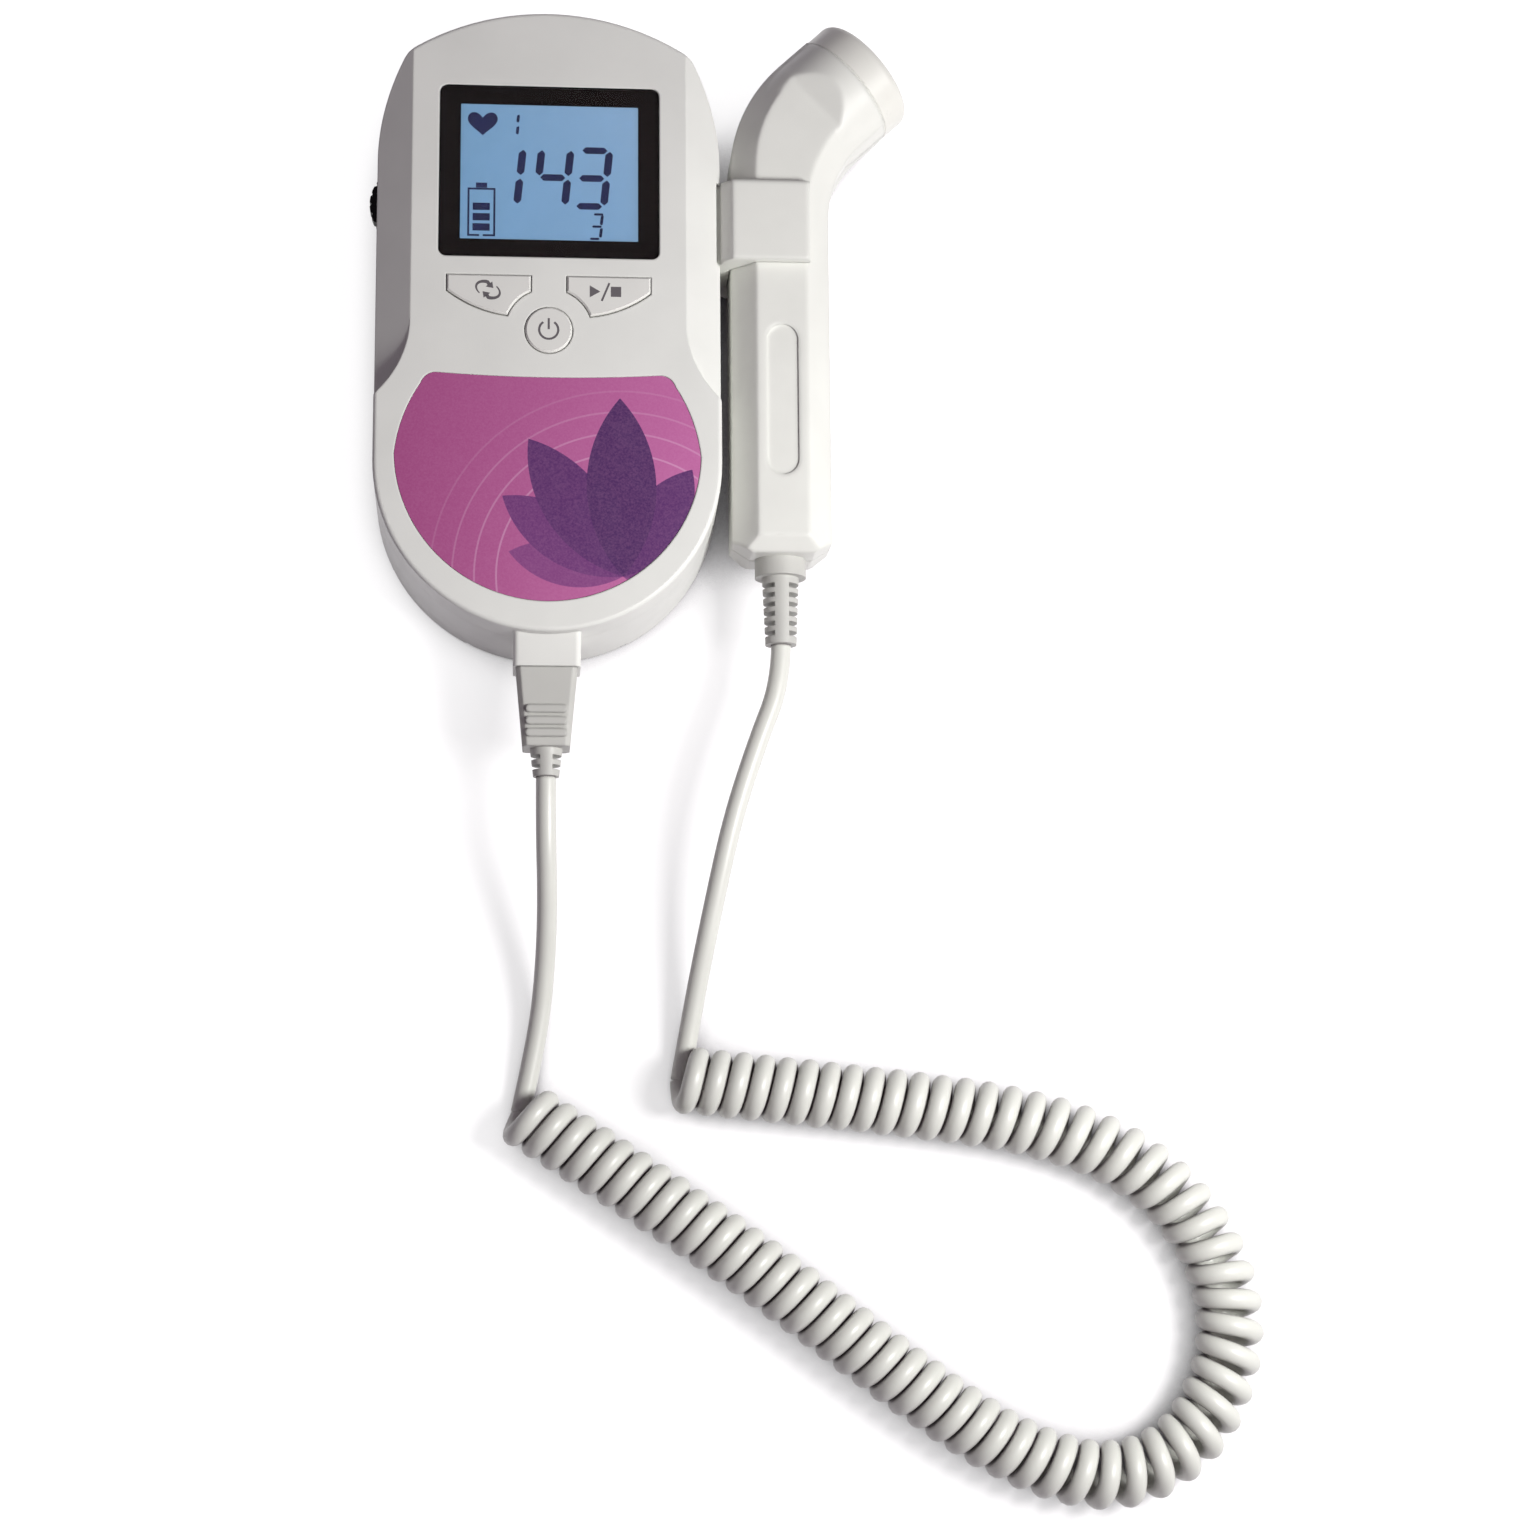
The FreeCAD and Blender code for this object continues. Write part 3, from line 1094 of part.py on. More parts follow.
def probe_front_shell():
    piece = Piece("probe_front_shell")
    probe_form(piece, 1)
    probe_cavity(piece, 1)
    middle = (d.pill_low_y + d.pill_high_y) / 2
    pill = stadium(d.probe_x, middle, d.pill_half, (d.pill_high_y - d.pill_low_y) / 2)
    piece.pocket("XY", d.probe_z + d.flat_half, [pill], d.pill_depth)


def probe_rear_shell():
    piece = Piece("probe_rear_shell")
    probe_form(piece, -1)
    probe_cavity(piece, -1)
    floor_z = d.probe_z - d.flat_half + d.shell_t
    ribs = []
    for y in (d.pcb_low_y + d.pcb_rib_in, d.pcb_high_y - d.pcb_rib_in):
        ribs.append(rect(d.probe_x - d.pcb_rib_half_x, y - d.pcb_rib_half_y,
                         d.probe_x + d.pcb_rib_half_x, y + d.pcb_rib_half_y))
    piece.pad("XY", floor_z - d.bite, ribs, d.probe_z - d.pcb_t / 2 - floor_z + d.bite)


def transducer_cap():
    """Rounded nose beyond the seam: spigot inside the shells, seat for the face plate."""
    piece = Piece("transducer_cap")
    end = d.cap_widest_at + d.cap_round_r
    section = [
        (d.spigot_start, d.cap_bore_r), (d.lens_seat, d.cap_bore_r),
        (d.lens_seat, d.lens_r + d.lens_gap), (end, d.lens_r + d.lens_gap),
        (end, d.cap_widest_r - d.cap_round_r, d.cap_round_r),
        (d.cap_widest_at, d.cap_widest_r), (d.seam_at + d.seam_bevel, d.seam_r),
        (d.seam_at, d.seam_r - d.seam_bevel), (d.seam_at, d.spigot_r), (d.spigot_start, d.spigot_r),
    ]
    piece.turn("XY", d.probe_z, [section], (d.probe_x, d.head_y), d.head_turn)


def acoustic_face():
    piece = Piece("acoustic_face")
    section = [
        (d.lens_seat, 0), (d.lens_end, 0), (d.lens_end, d.lens_r - d.lens_bevel),
        (d.lens_end - d.lens_bevel, d.lens_r), (d.lens_seat, d.lens_r),
    ]
    piece.turn("XY", d.probe_z, [section], (d.probe_x, d.head_y), d.head_turn)


def head_direction():
    turn = math.radians(float(d.head_turn))
    return (math.cos(turn), math.sin(turn), 0)


def crystals():
    """Transmitting and receiving half discs behind the face plate."""
    start = d.lens_seat - d.crystal_t
    spot = head_spot(start, 0) + (d.probe_z,)
    disc = primitive("Cylinder", "crystal_disc", spot, head_direction(), Radius=d.crystal_r,
                     Height=d.crystal_t)
    over = d.cut_over
    corner = head_spot(start - over, -d.crystal_gap / 2) + (d.probe_z - d.crystal_r - over,)
    saw = primitive("Box", "crystal_saw", corner, Length=d.crystal_t + over * 2, Width=d.crystal_gap,
                    Height=(d.crystal_r + over) * 2)
    saw.Placement = Placement(saw.Placement.Base, Rotation(Vector(0, 0, 1), float(d.head_turn)))
    cut = doc.addObject("Part::Cut", "crystals")
    cut.Label = "crystals"
    cut.Base = disc
    cut.Tool = saw
    pieces.append(cut)


def damping_block():
    start = d.spigot_start
    spot = head_spot(start, 0) + (d.probe_z,)
    obj = primitive("Cylinder", "damping_block", spot, head_direction(), Radius=d.cap_bore_r - d.lens_gap,
                    Height=d.lens_seat - d.crystal_t - start)
    pieces.append(obj)


def probe_board():
    half_t = d.pcb_t / 2
    obj = box("probe_board", (d.probe_x - d.pcb_half, d.pcb_low_y, d.probe_z - half_t),
              (d.probe_x + d.pcb_half, d.pcb_high_y, d.probe_z + half_t))
    pieces.append(obj)


def side_slots(x, first_y, pitch, count, width, core, reach):
    """Pairs of cross slots that leave a flexible core between them."""
    slots = []
    for row in range(count):
        y = first_y - pitch * row
        slots.append(rect(x + core, y - width / 2, x + reach, y + width / 2))
        slots.append(rect(x - reach, y - width / 2, x - core, y + width / 2))
    return slots


def probe_boot():
    """Collar on the handle's end and a slotted, tapering strain relief."""
    piece = Piece("probe_boot")
    top = d.handle_end_y
    step = top - d.collar_len
    end = top - d.boot_len
    section = [
        (0, end), (d.boot_end_r, end), (d.boot_r, step), (d.collar_r, step), (d.collar_r, top),
        (0, top),
    ]
    piece.turn("XY", d.probe_z, [section], (d.probe_x, 0), axis="V_Axis")
    slots = side_slots(d.probe_x, step - d.boot_slot_pitch, d.boot_slot_pitch, BOOT_SLOTS,
                       d.boot_slot_w, d.boot_core, d.collar_r)
    piece.pocket("XY", d.probe_z + d.collar_r, slots, d.collar_r * 2)


# ---------------------------------------------------------------- plug and cord

def probe_plug():
    """Tapered grip with three ribs on each face, and the tongue that enters the socket."""
    piece = Piece("probe_plug")
    start = d.boss_y - d.plug_slip
    z = d.socket_z
    wide = rect(-d.plug_half_x, z - d.plug_half_z, d.plug_half_x, z + d.plug_half_z)
    end_x, end_z = d.plug_end_half_x, d.plug_end_half_z
    narrow = rect(-end_x, z - end_z, end_x, z + end_z)
    piece.loft("XZ", [start, d.plug_end_y], [wide, narrow])
    grip = float(start - d.plug_end_y)
    piece.bevel_edges(lambda b: b.YLength > grip - NEAR, d.plug_bevel)
    half_x, half_z = d.tongue_half_x, d.tongue_half_z
    tongue = rect(-half_x, z - half_z, half_x, z + half_z)
    piece.pad("XZ", start, [tongue], d.tongue_len)
    ribs = []
    for row in range(PLUG_RIBS):
        ribs.append(stadium(dim(0), d.rib_y - d.rib_pitch * row, d.rib_half_x, d.rib_half_y))
    reach = d.plug_half_z + d.rib_proud
    piece.pad("XY", z, ribs, reach)
    piece.pad("XY", z, ribs, reach, towards=-1)


def plug_strain_relief():
    piece = Piece("plug_strain_relief")
    start = d.plug_end_y
    end = start - d.relief_len
    section = [(0, end), (d.relief_end_r, end), (d.relief_r, start), (0, start)]
    piece.turn("XY", d.socket_z, [section], axis="V_Axis")
    slots = side_slots(dim(0), start - d.relief_slot_pitch, d.relief_slot_pitch, RELIEF_SLOTS,
                       d.relief_slot_w, d.relief_core, d.relief_r + d.cut_over)
    piece.pocket("XY", d.socket_z + d.relief_r, slots, d.relief_r * 2)


def cord_path(route):
    """Straight runs joined by tangent arcs; each arc uses 0.45 of the shorter run beside it."""
    points = [Vector(*p) for p in route]
    edges = []
    radii = []
    start = points[0]
    for before, corner, after in zip(points, points[1:], points[2:]):
        arriving = (corner - before).normalize()
        leaving = (after - corner).normalize()
        cut = 0.45 * min((corner - before).Length, (after - corner).Length)
        turn = arriving.getAngle(leaving)
        radii.append(cut / math.tan(turn / 2))
        first = corner - arriving * cut
        last = corner + leaving * cut
        inward = (leaving - arriving).normalize()
        bulge = radii[-1] * (1 / math.cos(turn / 2) - 1)
        edges.append(Part.LineSegment(start, first).toShape())
        edges.append(Part.Arc(first, corner + inward * bulge, last).toShape())
        start = last
    edges.append(Part.LineSegment(start, points[-1]).toShape())
    return Part.Wire(edges), radii


def cord(label, route, radius):
    """Round tube along the route."""
    path, radii = cord_path(route)
    first = Vector(*route[1]) - Vector(*route[0])
    section = Part.Wire(Part.makeCircle(float(radius), Vector(*route[0]), first))
    obj = doc.addObject("Part::Feature", label)
    obj.Label = label
    obj.Shape = path.makePipeShell([section], True, False)
    expected = math.pi * float(radius) ** 2 * path.Length
    print(f"{label}: length {path.Length:.1f} mm, smallest arc {min(radii):.1f} mm, "
          f"volume ratio {obj.Shape.Volume / expected:.4f}, lowest {obj.Shape.BoundBox.ZMin:.2f}")
    pieces.append(obj)


def export():
    """Check every object and write one STEP file for each piece."""
    doc.recompute()
    for obj in doc.Objects:
        if "Invalid" in obj.State or "Error" in obj.State:
            raise RuntimeError(f"{obj.Label}: {obj.State}")
    os.makedirs("parts", exist_ok=True)
    for obj in pieces:
        shape = obj.Shape
        if shape.isNull() or not shape.isValid() or not shape.Solids:
            raise RuntimeError(f"{obj.Label}: no valid solid")
        if obj.TypeId == "PartDesign::Body" and len(shape.Solids) > 1:
            raise RuntimeError(f"{obj.Label}: in {len(shape.Solids)} pieces")
        shape.exportStep(f"parts/{obj.Label}.step")
        print(f"{obj.Label}: {len(shape.Solids)} solid(s), {shape.Volume:.0f} mm3")


def build():
    front_shell()
    rear_shell()
    battery_door()
    screen_window()
    lcd_panel()
    lcd_backlight()
    label_panel()
    main_board()
    key_switches()
    keys()
    speaker()
    volume_potentiometer()
    volume_wheel()
    headphone_jack()
    probe_socket()
    batteries()
    battery_contacts()
    fasteners()
    probe_holder()
    probe_front_shell()
    probe_rear_shell()
    transducer_cap()
    acoustic_face()
    crystals()
    damping_block()
    probe_board()
    probe_boot()
    probe_plug()
    plug_strain_relief()
    cord("plug_lead", PLUG_LEAD_ROUTE, d.cord_r)
    cord("coiled_cord", COIL_ROUTE, d.coil_r)
    cord("probe_lead", PROBE_LEAD_ROUTE, d.cord_r)
    export()


build()
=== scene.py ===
"""Looks of a pocket fetal doppler: display unit, probe in its side holder and curly cord."""
import math

import bmesh
import bpy
from mathutils import Matrix, Vector


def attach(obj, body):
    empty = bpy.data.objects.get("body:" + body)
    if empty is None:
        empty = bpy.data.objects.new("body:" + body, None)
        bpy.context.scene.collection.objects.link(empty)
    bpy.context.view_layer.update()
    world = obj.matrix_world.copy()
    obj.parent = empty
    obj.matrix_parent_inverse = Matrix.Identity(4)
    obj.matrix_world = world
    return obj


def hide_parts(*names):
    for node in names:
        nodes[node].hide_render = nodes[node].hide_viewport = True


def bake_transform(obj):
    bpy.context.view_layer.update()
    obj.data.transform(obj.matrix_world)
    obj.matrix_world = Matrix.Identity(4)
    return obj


MM = 0.001
UP = Vector((0, 0, 1))
WHITE = (1, 1, 1, 1)

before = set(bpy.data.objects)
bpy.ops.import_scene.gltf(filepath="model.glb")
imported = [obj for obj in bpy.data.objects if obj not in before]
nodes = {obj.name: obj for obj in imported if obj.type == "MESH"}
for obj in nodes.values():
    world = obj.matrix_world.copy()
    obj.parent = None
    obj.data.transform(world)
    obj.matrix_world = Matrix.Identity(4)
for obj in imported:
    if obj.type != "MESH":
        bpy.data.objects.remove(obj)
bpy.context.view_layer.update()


def node_box(name):
    """Low and high corner of a CAD node, in millimetres, to the nearest micrometre."""
    corners = nodes[name].bound_box
    low = [round(min(corner[axis] for corner in corners) / MM, 3) for axis in range(3)]
    high = [round(max(corner[axis] for corner in corners) / MM, 3) for axis in range(3)]
    return low, high


# ---------------------------------------------------------------- colours and materials

EDGE_SAMPLES = 6


def srgb(red, green, blue):
    """Linear colour of an 8-bit screen colour."""
    def linear(value):
        value /= 255
        return value / 12.92 if value <= 0.04045 else ((value + 0.055) / 1.055) ** 2.4
    return (linear(red), linear(green), linear(blue), 1.0)


class Graph:
    """The node tree of a material or a world, and short ways to add nodes to it."""

    def __init__(self, owner):
        owner.use_nodes = True
        self.tree = owner.node_tree

    def link(self, source, target):
        self.tree.links.new(source, target)

    def put(self, value, socket):
        """Link an output to the socket, or set the socket to a constant."""
        if isinstance(value, bpy.types.NodeSocket):
            self.link(value, socket)
        else:
            socket.default_value = value

    def math(self, operation, first, second=0.0, third=0.0, clamp=False):
        node = self.tree.nodes.new("ShaderNodeMath")
        node.operation = operation
        node.use_clamp = clamp
        for value, socket in zip((first, second, third), node.inputs):
            self.put(value, socket)
        return node.outputs[0]

    def vector_math(self, operation, vector, constant, output="Value"):
        node = self.tree.nodes.new("ShaderNodeVectorMath")
        node.operation = operation
        self.link(vector, node.inputs[0])
        node.inputs[1].default_value = constant
        return node.outputs[output]

    def mix(self, share, first, second):
        node = self.tree.nodes.new("ShaderNodeMix")
        node.data_type = "RGBA"
        self.put(share, node.inputs[0])
        self.put(first, node.inputs[6])
        self.put(second, node.inputs[7])
        return node.outputs[2]


class Finish(Graph):
    """A material with a Principled shader, and the nodes that give it tone, gloss and relief."""

    def __init__(self, name, colour, rough, **sockets):
        self.material = bpy.data.materials.new(name)
        super().__init__(self.material)
        self.tree.nodes.clear()
        self.shader = self.tree.nodes.new("ShaderNodeBsdfPrincipled")
        self.output = self.tree.nodes.new("ShaderNodeOutputMaterial")
        self.link(self.shader.outputs[0], self.output.inputs[0])
        self.coords = self.tree.nodes.new("ShaderNodeTexCoord").outputs["Object"]
        self.shader.inputs["Base Color"].default_value = colour
        self.shader.inputs["Roughness"].default_value = rough
        for socket_name, value in sockets.items():
            self.shader.inputs[socket_name.replace("_", " ")].default_value = value

    def noise(self, scale, detail=3.0, rough=0.5, vector=None):
        node = self.tree.nodes.new("ShaderNodeTexNoise")
        self.link(vector or self.coords, node.inputs["Vector"])
        node.inputs["Scale"].default_value = scale
        node.inputs["Detail"].default_value = detail
        node.inputs["Roughness"].default_value = rough
        return node.outputs["Fac"]

    def span(self, value, low, high, to_low=0.0, to_high=1.0, smooth=False):
        """The value carried over from one range to another, and held at the ends."""
        node = self.tree.nodes.new("ShaderNodeMapRange")
        node.interpolation_type = "SMOOTHSTEP" if smooth else "LINEAR"
        self.put(value, node.inputs["Value"])
        ends = {"From Min": low, "From Max": high, "To Min": to_low, "To Max": to_high}
        for name, number in ends.items():
            node.inputs[name].default_value = number
        return node.outputs["Result"]

    def axes(self):
        node = self.tree.nodes.new("ShaderNodeSeparateXYZ")
        self.link(self.coords, node.inputs[0])
        return node.outputs

    def soft_edges(self, radius):
        """Shading normal that rounds sharp edges, as a moulded part's are."""
        node = self.tree.nodes.new("ShaderNodeBevel")
        node.samples = EDGE_SAMPLES
        node.inputs["Radius"].default_value = radius
        return node.outputs["Normal"]

    def openness(self, reach, low, high, samples=EDGE_SAMPLES):
        """0 in crevices narrower than the reach, 1 in the open."""
        node = self.tree.nodes.new("ShaderNodeAmbientOcclusion")
        node.samples = samples
        node.inputs["Distance"].default_value = reach
        return self.span(node.outputs["AO"], low, high, smooth=True)

    def bump(self, height, distance, strength, under=None):
        node = self.tree.nodes.new("ShaderNodeBump")
        node.inputs["Distance"].default_value = distance
        node.inputs["Strength"].default_value = strength
        self.link(height, node.inputs["Height"])
        if under:
            self.link(under, node.inputs["Normal"])
        self.link(node.outputs["Normal"], self.shader.inputs["Normal"])

    def colour(self, source):
        self.link(source, self.shader.inputs["Base Color"])

    def roughness(self, source):
        self.link(source, self.shader.inputs["Roughness"])


# Painted shade for narrow gaps, such as those between a coil's turns.
PAINTED_GAP_SHADE = srgb(112, 102, 108)


def moulded(name, colour, rough, grain=0.00003, cell=5200.0, blotch=0.06, tint=0.05, edge=0.0,
            gap_shade_reach=0.0, **sockets):
    """Moulded plastic: fine grain, faint handling marks, a slightly uneven tone.

    The edge is the radius that sharp edges are shaded with. Crevices narrower than the gap shade reach are
    darkened with painted shade.
    """
    finish = Finish(name, colour, rough, **sockets)
    fine = finish.noise(cell, 2.0, 0.6)
    broad = finish.noise(60.0, 3.0, 0.55)
    smear = finish.noise(310.0, 4.0, 0.65)
    darker = tuple(c * (1 - tint) for c in colour[:3]) + (1.0,)
    tone = finish.mix(finish.span(broad, 0.35, 0.7), colour, darker)
    if gap_shade_reach:
        # Painted shade: crevices narrower than the reach are darkened.
        tone = finish.mix(finish.openness(gap_shade_reach, 0.15, 0.6), PAINTED_GAP_SHADE, tone)
    finish.colour(tone)
    level = finish.math("ADD", finish.span(smear, 0.3, 0.75, -blotch, blotch), rough)
    finish.roughness(finish.math("ADD", level, finish.span(fine, 0.3, 0.7, -0.03, 0.03), clamp=True))
    finish.bump(fine, grain, 0.6, finish.soft_edges(edge) if edge else None)
    return finish


housing = moulded("housing_plastic", srgb(230, 231, 226), 0.42, edge=0.0005, Specular_IOR_Level=0.45,
                  Coat_Weight=0.06, Coat_Roughness=0.3)
probe_plastic = moulded("probe_plastic", srgb(229, 230, 224), 0.38, edge=0.0016, Specular_IOR_Level=0.5,
                        Coat_Weight=0.1, Coat_Roughness=0.25)
nose_plastic = moulded("probe_nose_plastic", srgb(229, 229, 222), 0.34, Coat_Weight=0.12,
                       Coat_Roughness=0.2)
key_plastic = moulded("key_plastic", srgb(228, 228, 223), 0.45, blotch=0.04)
grey_rubber = moulded("grey_moulding", srgb(190, 190, 185), 0.5, edge=0.0003, grain=0.00004, blotch=0.08)
plug_rubber = moulded("plug_moulding", srgb(192, 192, 187), 0.5, edge=0.0008, grain=0.00004, blotch=0.08)
jacket = moulded("cord_jacket", srgb(216, 217, 210), 0.38, grain=0.00002, cell=3800.0, blotch=0.05,
                 gap_shade_reach=0.004, Specular_IOR_Level=0.5, Coat_Weight=0.08, Coat_Roughness=0.3)
black_plastic = moulded("black_plastic", srgb(9, 8, 10), 0.5, grain=0.00004, tint=0.2,
                        Specular_IOR_Level=0.2)
lens_rubber = moulded("acoustic_face", srgb(196, 196, 194), 0.3, tint=0.03)


def steel(name, colour, rough, stretch):
    """Bright metal with fine drawn lines along one axis."""
    finish = Finish(name, colour, rough, Metallic=1.0)
    mapping = finish.tree.nodes.new("ShaderNodeMapping")
    finish.link(finish.coords, mapping.inputs["Vector"])
    mapping.inputs["Scale"].default_value = stretch
    lines = finish.noise(900.0, 4.0, 0.6, mapping.outputs["Vector"])
    finish.roughness(finish.span(lines, 0.3, 0.7, rough - 0.08, rough + 0.14))
    finish.bump(lines, 0.00002, 0.5)
    return finish


bright_steel = steel("zinc_steel", (0.62, 0.63, 0.65, 1), 0.32, (1, 1, 0.2))
spring_steel = steel("nickel_strip", (0.66, 0.64, 0.6, 1), 0.28, (0.2, 1, 1))


def board_finish():
    """Solder mask with faint tracks under it."""
    finish = Finish("circuit_board", srgb(28, 92, 58), 0.35, Coat_Weight=0.4, Coat_Roughness=0.15)
    track = finish.tree.nodes.new("ShaderNodeTexBrick")
    track.inputs["Scale"].default_value = 420.0
    track.inputs["Mortar Size"].default_value = 0.035
    track.inputs["Color1"].default_value = srgb(24, 84, 52)
    track.inputs["Color2"].default_value = srgb(30, 98, 62)
    track.inputs["Mortar"].default_value = srgb(52, 128, 78)
    finish.link(finish.coords, track.inputs["Vector"])
    finish.colour(track.outputs["Color"])
    finish.bump(finish.noise(900.0), 0.00004, 0.4)
    return finish


board_green = board_finish()
ceramic = moulded("piezo_ceramic", srgb(205, 186, 150), 0.5, tint=0.08)
backing = moulded("damping_resin", srgb(70, 66, 64), 0.6, tint=0.15)
glass_panel = Finish("lcd_glass_edge", srgb(120, 140, 150), 0.12, Coat_Weight=0.5)
glass_panel.roughness(glass_panel.span(glass_panel.noise(800.0), 0.3, 0.7, 0.08, 0.18))
light_guide = Finish("light_guide", srgb(225, 232, 236), 0.25, Subsurface_Weight=0.2)
light_guide.bump(light_guide.noise(2600.0), 0.00004, 0.5)


# Where the copper coloured end of a cell's wrapper starts.
BAND_Y = -23.5


def cell_finish():
    """Plain wrapper of a round cell: dark, with a copper coloured upper end."""
    finish = Finish("cell_wrapper", srgb(40, 42, 46), 0.3, Coat_Weight=0.5, Coat_Roughness=0.1)
    _, y, _ = finish.axes()
    band = finish.span(y, (BAND_Y - 0.1) * MM, (BAND_Y + 0.1) * MM)
    finish.colour(finish.mix(band, srgb(44, 46, 50), srgb(176, 122, 74)))
    finish.roughness(finish.span(finish.noise(500.0), 0.3, 0.7, 0.24, 0.36))
    return finish


cell = cell_finish()


def assign(finish, *names):
    """Give CAD nodes a finish."""
    for name in names:
        data = nodes[name].data
        data.materials.clear()
        data.materials.append(finish.material)


assign(housing, "front_shell", "rear_shell", "battery_door")
assign(probe_plastic, "probe_front_shell", "probe_rear_shell", "probe_holder")
assign(nose_plastic, "transducer_cap")
assign(key_plastic, "mode_key", "start_stop_key", "power_key")
assign(grey_rubber, "probe_boot", "plug_strain_relief")
assign(plug_rubber, "probe_plug")
assign(black_plastic, "volume_wheel", "headphone_jack", "probe_socket", "speaker", "key_switches",
       "volume_potentiometer")
assign(lens_rubber, "acoustic_face")
assign(bright_steel, "case_screws", "board_screws", "holder_screws")
assign(spring_steel, "battery_contacts")
assign(board_green, "main_board", "probe_board")
assign(ceramic, "crystals")
assign(backing, "damping_block")
assign(glass_panel, "lcd_panel")
assign(light_guide, "lcd_backlight")
assign(cell, "battery_1", "battery_2")


# ---------------------------------------------------------------- cord

def route(*points):
    """Points given in millimetres, in metres."""
    return [Vector(point) * MM for point in points]


PLUG_LEAD = route(
    (0.0, -95.8, 18.9), (0.0, -106.5, 18.9), (0.5, -121.0, 12.9), (0.1, -134.5, 7.0),
    (-1.3, -148.0, 3.4), (-4.8, -163.8, 2.15),
)
COIL = route(
    (-4.6, -164.1, 7.05), (21.8, -180.9, 7.05), (50.3, -200.6, 7.05), (76.4, -220.6, 7.05),
    (97.8, -234.7, 7.05), (117.7, -240.0, 7.05), (134.4, -232.1, 7.05), (143.4, -213.2, 7.05),
    (140.7, -193.7, 7.05), (127.0, -176.3, 7.05), (104.3, -166.4, 7.05), (66.8, -161.4, 7.05),
    (28.4, -157.4, 7.05),
)
PROBE_LEAD = route(
    (49.2, -67.0, 16.5), (49.0, -75.2, 16.5), (44.2, -87.4, 16.7), (38.9, -103.5, 15.4),
    (34.9, -122.0, 11.6), (31.3, -140.5, 5.8), (28.5, -157.2, 2.15),
)
CORD_R = 2.1 * MM
COIL_CORD_R = 2.15 * MM
COIL_R = 4.89 * MM
COIL_TURNS = 66
COIL_STEPS = 14
CLOSE_PITCH, OPEN_PITCH = 4.83, 5.91
# Shares of the coil's length over which its turns open, ease a little, and close again.
OPENING, EASING, CLOSING = (0.36, 0.47), (0.47, 0.55), (0.61, 0.915)
EASED_BY = 0.1


def add_object(name, data):
    obj = bpy.data.objects.new(name, data)
    bpy.context.scene.collection.objects.link(obj)
    return obj


def spline_curve(name, points, resolution):
    """Curve object with one smooth open spline that starts and ends at its outer control points."""
    data = bpy.data.curves.new(name, "CURVE")
    data.dimensions = "3D"
    data.resolution_u = resolution
    spline = data.splines.new("NURBS")
    spline.points.add(len(points) - 1)
    for point, co in zip(spline.points, points):
        point.co = (*co, 1.0)
    spline.order_u = 3
    spline.use_endpoint_u = True
    spline.resolution_u = resolution
    return add_object(name, data)


def read_line(points, resolution=24):
    """Points along the smooth line that a route's NURBS spline makes."""
    curve = spline_curve("route", points, resolution)
    bpy.context.view_layer.update()
    mesh = bpy.data.meshes.new_from_object(curve)
    line = [v.co.copy() for v in mesh.vertices]
    bpy.data.meshes.remove(mesh)
    data = curve.data
    bpy.data.objects.remove(curve)
    bpy.data.curves.remove(data)
    return line


def arc_lengths(line):
    """Length of the line up to each of its points."""
    lengths = [0.0]
    for a, b in zip(line, line[1:]):
        lengths.append(lengths[-1] + (b - a).length)
    return lengths


def add_tube(name, line, radius, sides=24):
    """Closed round tube along a line, with flat ends."""
    vertices, faces = [], []
    across = None
    for i, centre in enumerate(line):
        ahead = (line[min(i + 1, len(line) - 1)] - line[max(i - 1, 0)]).normalized()
        if across is None:
            across = ahead.cross(UP if abs(ahead.z) < 0.9 else Vector((1, 0, 0))).normalized()
        across = (across - ahead * across.dot(ahead)).normalized()
        beside = ahead.cross(across)
        for k in range(sides):
            a = math.tau * k / sides
            vertices.append(centre + (across * math.cos(a) + beside * math.sin(a)) * radius)
    for i in range(len(line) - 1):
        for k in range(sides):
            n = (k + 1) % sides
            faces.append((i * sides + k, i * sides + n, (i + 1) * sides + n, (i + 1) * sides + k))
    faces.append(tuple(reversed(range(sides))))
    last = (len(line) - 1) * sides
    faces.append(tuple(last + k for k in range(sides)))
    mesh = bpy.data.meshes.new(name)
    mesh.from_pydata([tuple(v) for v in vertices], [], faces)
    mesh.polygons.foreach_set("use_smooth", [True] * len(mesh.polygons))
    return add_object(name, mesh)


def ramp(value, low, high):
    """Smooth step from 0 to 1 between two values."""
    t = min(max((value - low) / (high - low), 0.0), 1.0)
    return t * t * (3 - 2 * t)


def turns_along(lengths):
    """Turns made by each point of the line: close on the straight runs, open round the bend."""
    total = lengths[-1]
    made = [0.0]
    for before, after in zip(lengths, lengths[1:]):
        share = (before + after) / (2 * total)
        eased = 1 - EASED_BY * ramp(share, *EASING)
        opened = ramp(share, *OPENING) * eased * (1 - ramp(share, *CLOSING))
        pitch = CLOSE_PITCH + (OPEN_PITCH - CLOSE_PITCH) * opened
        made.append(made[-1] + (after - before) / (pitch * MM))
    return [turn * COIL_TURNS / made[-1] for turn in made]


